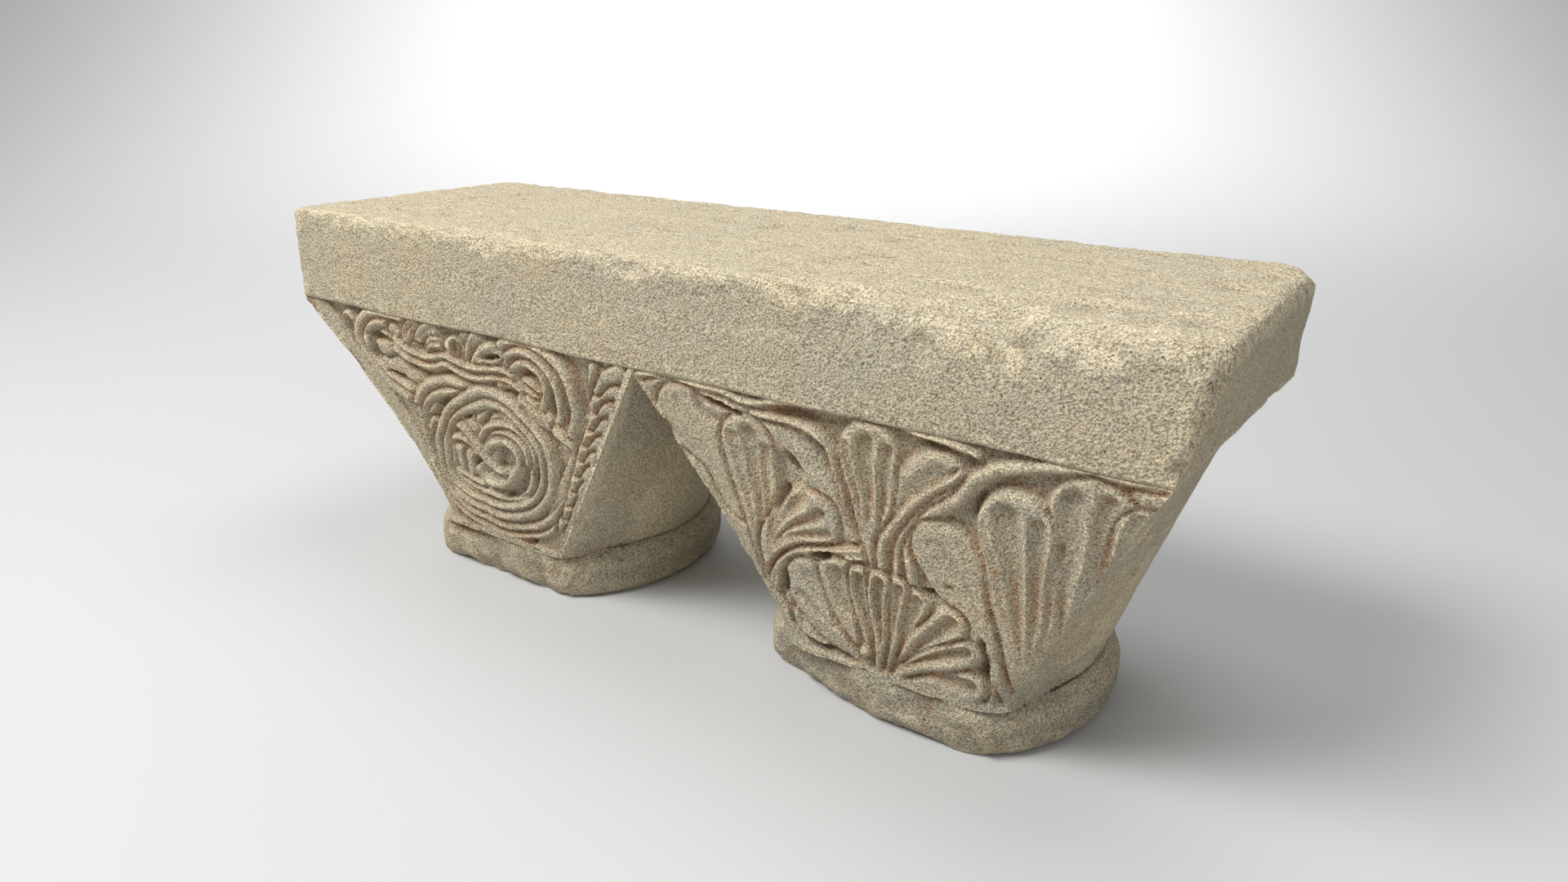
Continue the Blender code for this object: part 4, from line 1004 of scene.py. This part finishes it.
def wornLimestone():
    material = bpy.data.materials.new("wornLimestone")
    material.use_nodes = True
    tree = material.node_tree
    surface = tree.nodes["Principled BSDF"]
    surface.inputs["Roughness"].default_value = stoneLook["roughness"]
    surface.inputs["Specular IOR Level"].default_value = 0.25
    place = tree.nodes.new("ShaderNodeTexCoord").outputs["Object"]
    hollow = readAttribute(tree, "hollow")
    crease = readAttribute(tree, "crease")
    ridge = readAttribute(tree, "ridge")
    upper = readAttribute(tree, "upper")

    # the stone itself: warm and grey patches, and a painted highlight in cream on top and along every worn
    # edge and ridge
    slow = remap(tree, noiseOf(tree, place, 13, 4), 0.38, 0.62)
    patches = remap(tree, noiseOf(tree, place, 75, 4), 0.45, 0.7)
    greyed = work(tree, "MULTIPLY", slow, stoneLook["patchiness"])
    colour = blendColour(tree, greyed, stoneLook["body"], stoneLook["grey"])
    # painted highlight: the top is drawn lighter
    topHighlightShare = work(tree, "MULTIPLY", upper, stoneLook["topHighlight"])
    colour = blendColour(tree, topHighlightShare, colour, stoneLook["highlightCream"])
    # painted highlight along the worn edges and ridges
    ragged = work(tree, "ADD", ridge, remap(tree, noiseOf(tree, place, 130, 5, 0.6), 0.3, 0.7, -0.2, 0.2))
    edgeHighlightShare = remap(tree, ragged, 0.33, 0.53, 0.0, stoneLook["edgeHighlight"])
    colour = blendColour(tree, edgeHighlightShare, colour, stoneLook["highlightCream"])
    colour = blendColour(tree, work(tree, "MULTIPLY", patches, 0.08), colour, stoneLook["rust"])

    # painted shade in the hollows, darkest in the deepest ones, and rust stains along the creases
    shaded = work(tree, "MULTIPLY", hollow, stoneLook["hollowShade"])
    colour = blendColour(tree, shaded, colour, stoneLook["shade"])
    stain = work(tree, "MULTIPLY", crease, remap(tree, noiseOf(tree, place, 38, 3), 0.35, 0.6, 0.25, 1.0))
    colour = blendColour(tree, stain, colour, stoneLook["rust"])
    # painted shade, darkest in the deepest hollows
    deepShadeShare = remap(tree, hollow, 0.7, 1.0, 0.0, 0.8)
    colour = blendColour(tree, deepShadeShare, colour, stoneLook["pitsAndDeepShade"])

    # the tooling that runs along the top
    stretched = tree.nodes.new("ShaderNodeMapping")
    stretched.inputs["Scale"].default_value = (16, 380, 60)
    tree.links.new(place, stretched.inputs["Vector"])
    tooling = work(tree, "MULTIPLY", noiseOf(tree, stretched.outputs[0], 1, 4), upper)
    lines = work(tree, "MULTIPLY", remap(tree, noiseOf(tree, stretched.outputs[0], 1, 4), 0.56, 0.68), upper)
    scored = work(tree, "MULTIPLY", lines, stoneLook["toolLines"])
    colour = blendColour(tree, scored, colour, stoneLook["shade"])

    # crystals: warm and cool ones, darker and lighter ones, and clusters of them
    tints = noiseOf(tree, place, stoneLook["grainScale"] * 0.85, 2, 0.6)
    warm = remap(tree, tints, 0.52, 0.66, 0.0, stoneLook["grainTint"])
    colour = blendColour(tree, warm, colour, stoneLook["warmGrain"])
    cool = remap(tree, tints, 0.48, 0.34, 0.0, stoneLook["grainTint"])
    colour = blendColour(tree, cool, colour, stoneLook["coolGrain"])
    crystals = noiseOf(tree, place, stoneLook["grainScale"], 1, 0.6)
    clusters = noiseOf(tree, place, stoneLook["grainScale"] / 2.6, 2, 0.6)
    single = remap(tree, crystals, 0.3, 0.7, *stoneLook["grainLight"])
    bright = work(tree, "ADD", single, remap(tree, clusters, 0.3, 0.7, 0.94, 1.06))

    # painted shade: darker towards the foot
    axes = tree.nodes.new("ShaderNodeSeparateXYZ")
    tree.links.new(place, axes.inputs[0])
    foot = remap(tree, axes.outputs["Z"], 0.02, 0.06, stoneLook["footShade"], 1.0)
    bright = work(tree, "MULTIPLY", bright, foot)
    speckled = tree.nodes.new("ShaderNodeVectorMath")
    speckled.operation = "SCALE"
    tree.links.new(colour, speckled.inputs[0])
    tree.links.new(bright, speckled.inputs["Scale"])

    # dark pits, here and there
    specks = addNode(tree, "ShaderNodeTexVoronoi", Scale=stoneLook["pitScale"])
    tree.links.new(place, specks.inputs["Vector"])
    pits = remap(tree, specks.outputs["Distance"], 0.0, 0.24, 1.0, 0.0)
    pits = work(tree, "MULTIPLY", pits, remap(tree, noiseOf(tree, place, 150, 2), 0.54, 0.62))
    colour = blendColour(tree, work(tree, "MULTIPLY", pits, 0.7), speckled.outputs[0], stoneLook["pitsAndDeepShade"])
    tree.links.new(colour, surface.inputs["Base Color"])

    # relief too fine for the mesh
    height = work(tree, "ADD", crystals, work(tree, "MULTIPLY", clusters, 0.8))
    height = work(tree, "ADD", height, work(tree, "MULTIPLY", noiseOf(tree, place, 120, 3), 1.2))
    height = work(tree, "ADD", height, work(tree, "MULTIPLY", tooling, 1.8))
    height = work(tree, "SUBTRACT", height, work(tree, "MULTIPLY", pits, 1.2))
    bump = tree.nodes.new("ShaderNodeBump")
    bump.inputs["Strength"].default_value = 1.0
    bump.inputs["Distance"].default_value = stoneLook["bump"]
    tree.links.new(height, bump.inputs["Height"])
    tree.links.new(bump.outputs["Normal"], surface.inputs["Normal"])
    return material


def plainPaint(name, colour, roughness):
    material = bpy.data.materials.new(name)
    material.use_nodes = True
    surface = material.node_tree.nodes["Principled BSDF"]
    surface.inputs["Base Color"].default_value = (*colour, 1)
    surface.inputs["Roughness"].default_value = roughness
    return material


# making the block

twinCapital = buildSlab()
print("slab cut")
for one in (leftBell, rightBell):
    carved = buildBell(one)
    joinInto(twinCapital, carved)
    print(one["name"], "carved and joined,", len(twinCapital.data.polygons), "faces")
    joinInto(twinCapital, buildNeck(one))
    print(one["name"], "neck joined")
roundArris(twinCapital)
weather(twinCapital)
print("weathered")
markShadeHighlightAndStains(twinCapital)
placed = pointsOf(twinCapital)
placed[:, 0] += slab["leftExtra"] / 2
setPoints(twinCapital, placed)
twinCapital.data.materials.clear()
twinCapital.data.materials.append(wornLimestone())
makeActive(twinCapital)
bpy.ops.object.shade_smooth_by_angle(angle=math.radians(50))
print("stone finished,", sum(len(face.vertices) - 2 for face in twinCapital.data.polygons), "triangles")

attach(twinCapital, "root")
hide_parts("twin_capital")


# floor, light and camera

studio = {
    "floor": (0.54, 0.54, 0.537),
    "floorRoughness": 0.7,
    "floorTurn": 34,  # degrees, so that its back edge faces the camera
    "floorSize": 12,
    "wallHeight": 5,
    "wallCurve": 4.4,
    "sky": (0.80, 0.82, 0.84),
    "skyStrength": 0.34,
    # place, aim, size and power of each light
    "lights": (
        ("keyLight", (-0.75, -1.25, 2.0), (0, 0, 0.13), 1.0, 62),
        ("fillLight", (1.8, -1.0, 1.0), (0, 0, 0.13), 1.4, 6),
        ("topLight", (0.2, 0.5, 2.2), (0, 0, 0.2), 1.2, 17),
        ("wallLight", (-1.4, 2.3, 2.8), (-2.7, 4.3, 0.6), 3.0, 170),
    ),
}


def selectEdges(shape, test):
    bpy.ops.mesh.select_all(action="DESELECT")
    for edge in shape.edges:
        edge.select_set(all(test(vertex.co) for vertex in edge.verts))


def raiseBackEdge(piece):
    # the back edge is extruded up into a wall, with a wide curve where it leaves the floor
    back = studio["floorSize"] / 2
    makeActive(piece)
    bpy.ops.object.mode_set(mode="EDIT")
    bpy.ops.mesh.select_mode(type="EDGE")
    shape = bmesh.from_edit_mesh(piece.data)
    selectEdges(shape, lambda place: place.y > back - 0.01)
    bpy.ops.mesh.extrude_region_move(TRANSFORM_OT_translate={"value": (0, 0, studio["wallHeight"])})
    shape = bmesh.from_edit_mesh(piece.data)
    selectEdges(shape, lambda place: place.y > back - 0.01 and place.z < 0.01)
    bpy.ops.mesh.bevel(offset=studio["wallCurve"], segments=24)
    bpy.ops.mesh.select_all(action="SELECT")
    bpy.ops.transform.rotate(value=math.radians(-studio["floorTurn"]), orient_axis="Z",
                             center_override=(0, 0, 0))
    bpy.ops.object.mode_set(mode="OBJECT")


deselectAll()
bpy.ops.mesh.primitive_plane_add(size=studio["floorSize"])
floor = newest("floor")
raiseBackEdge(floor)
bpy.ops.object.shade_smooth()
floor.data.materials.append(plainPaint("paleFloor", studio["floor"], studio["floorRoughness"]))
floor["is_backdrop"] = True

world = bpy.data.worlds.new("studio")
world.use_nodes = True
sky = world.node_tree.nodes.get("Background") or world.node_tree.nodes.new("ShaderNodeBackground")
sky.inputs["Color"].default_value = (*studio["sky"], 1)
sky.inputs["Strength"].default_value = studio["skyStrength"]
bpy.context.scene.world = world

for name, place, aim, size, power in studio["lights"]:
    bpy.ops.object.light_add(type="AREA", location=place)
    lamp = bpy.context.active_object
    lamp.name = name
    lamp.data.size = size
    lamp.data.energy = power
    lamp.rotation_euler = (Vector(aim) - Vector(place)).to_track_quat("-Z", "Y").to_euler()

cameraSet = {
    "place": (0.4130, -0.5505, 0.3728),
    "aim": (-0.10967, 0.22645, 0.02186),
    "roll": 0.54,  # degrees
    "lens": 23.77,
    "sensor": 36,
}
bpy.ops.object.camera_add(location=cameraSet["place"])
camera = bpy.context.active_object
camera.name = "camera"
way = Vector(cameraSet["aim"]) - Vector(cameraSet["place"])
camera.rotation_euler = way.to_track_quat("-Z", "Y").to_euler()
camera.rotation_euler.rotate_axis("Z", math.radians(cameraSet["roll"]))
camera.data.lens = cameraSet["lens"]
camera.data.sensor_width = cameraSet["sensor"]
camera.data.clip_start = 0.01
bpy.context.scene.camera = camera
bpy.context.scene.view_settings.view_transform = "Standard"
print("studio set")

size = {"cad": [list(corner) for corner in cadBox], "visual": [list(corner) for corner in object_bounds()]}
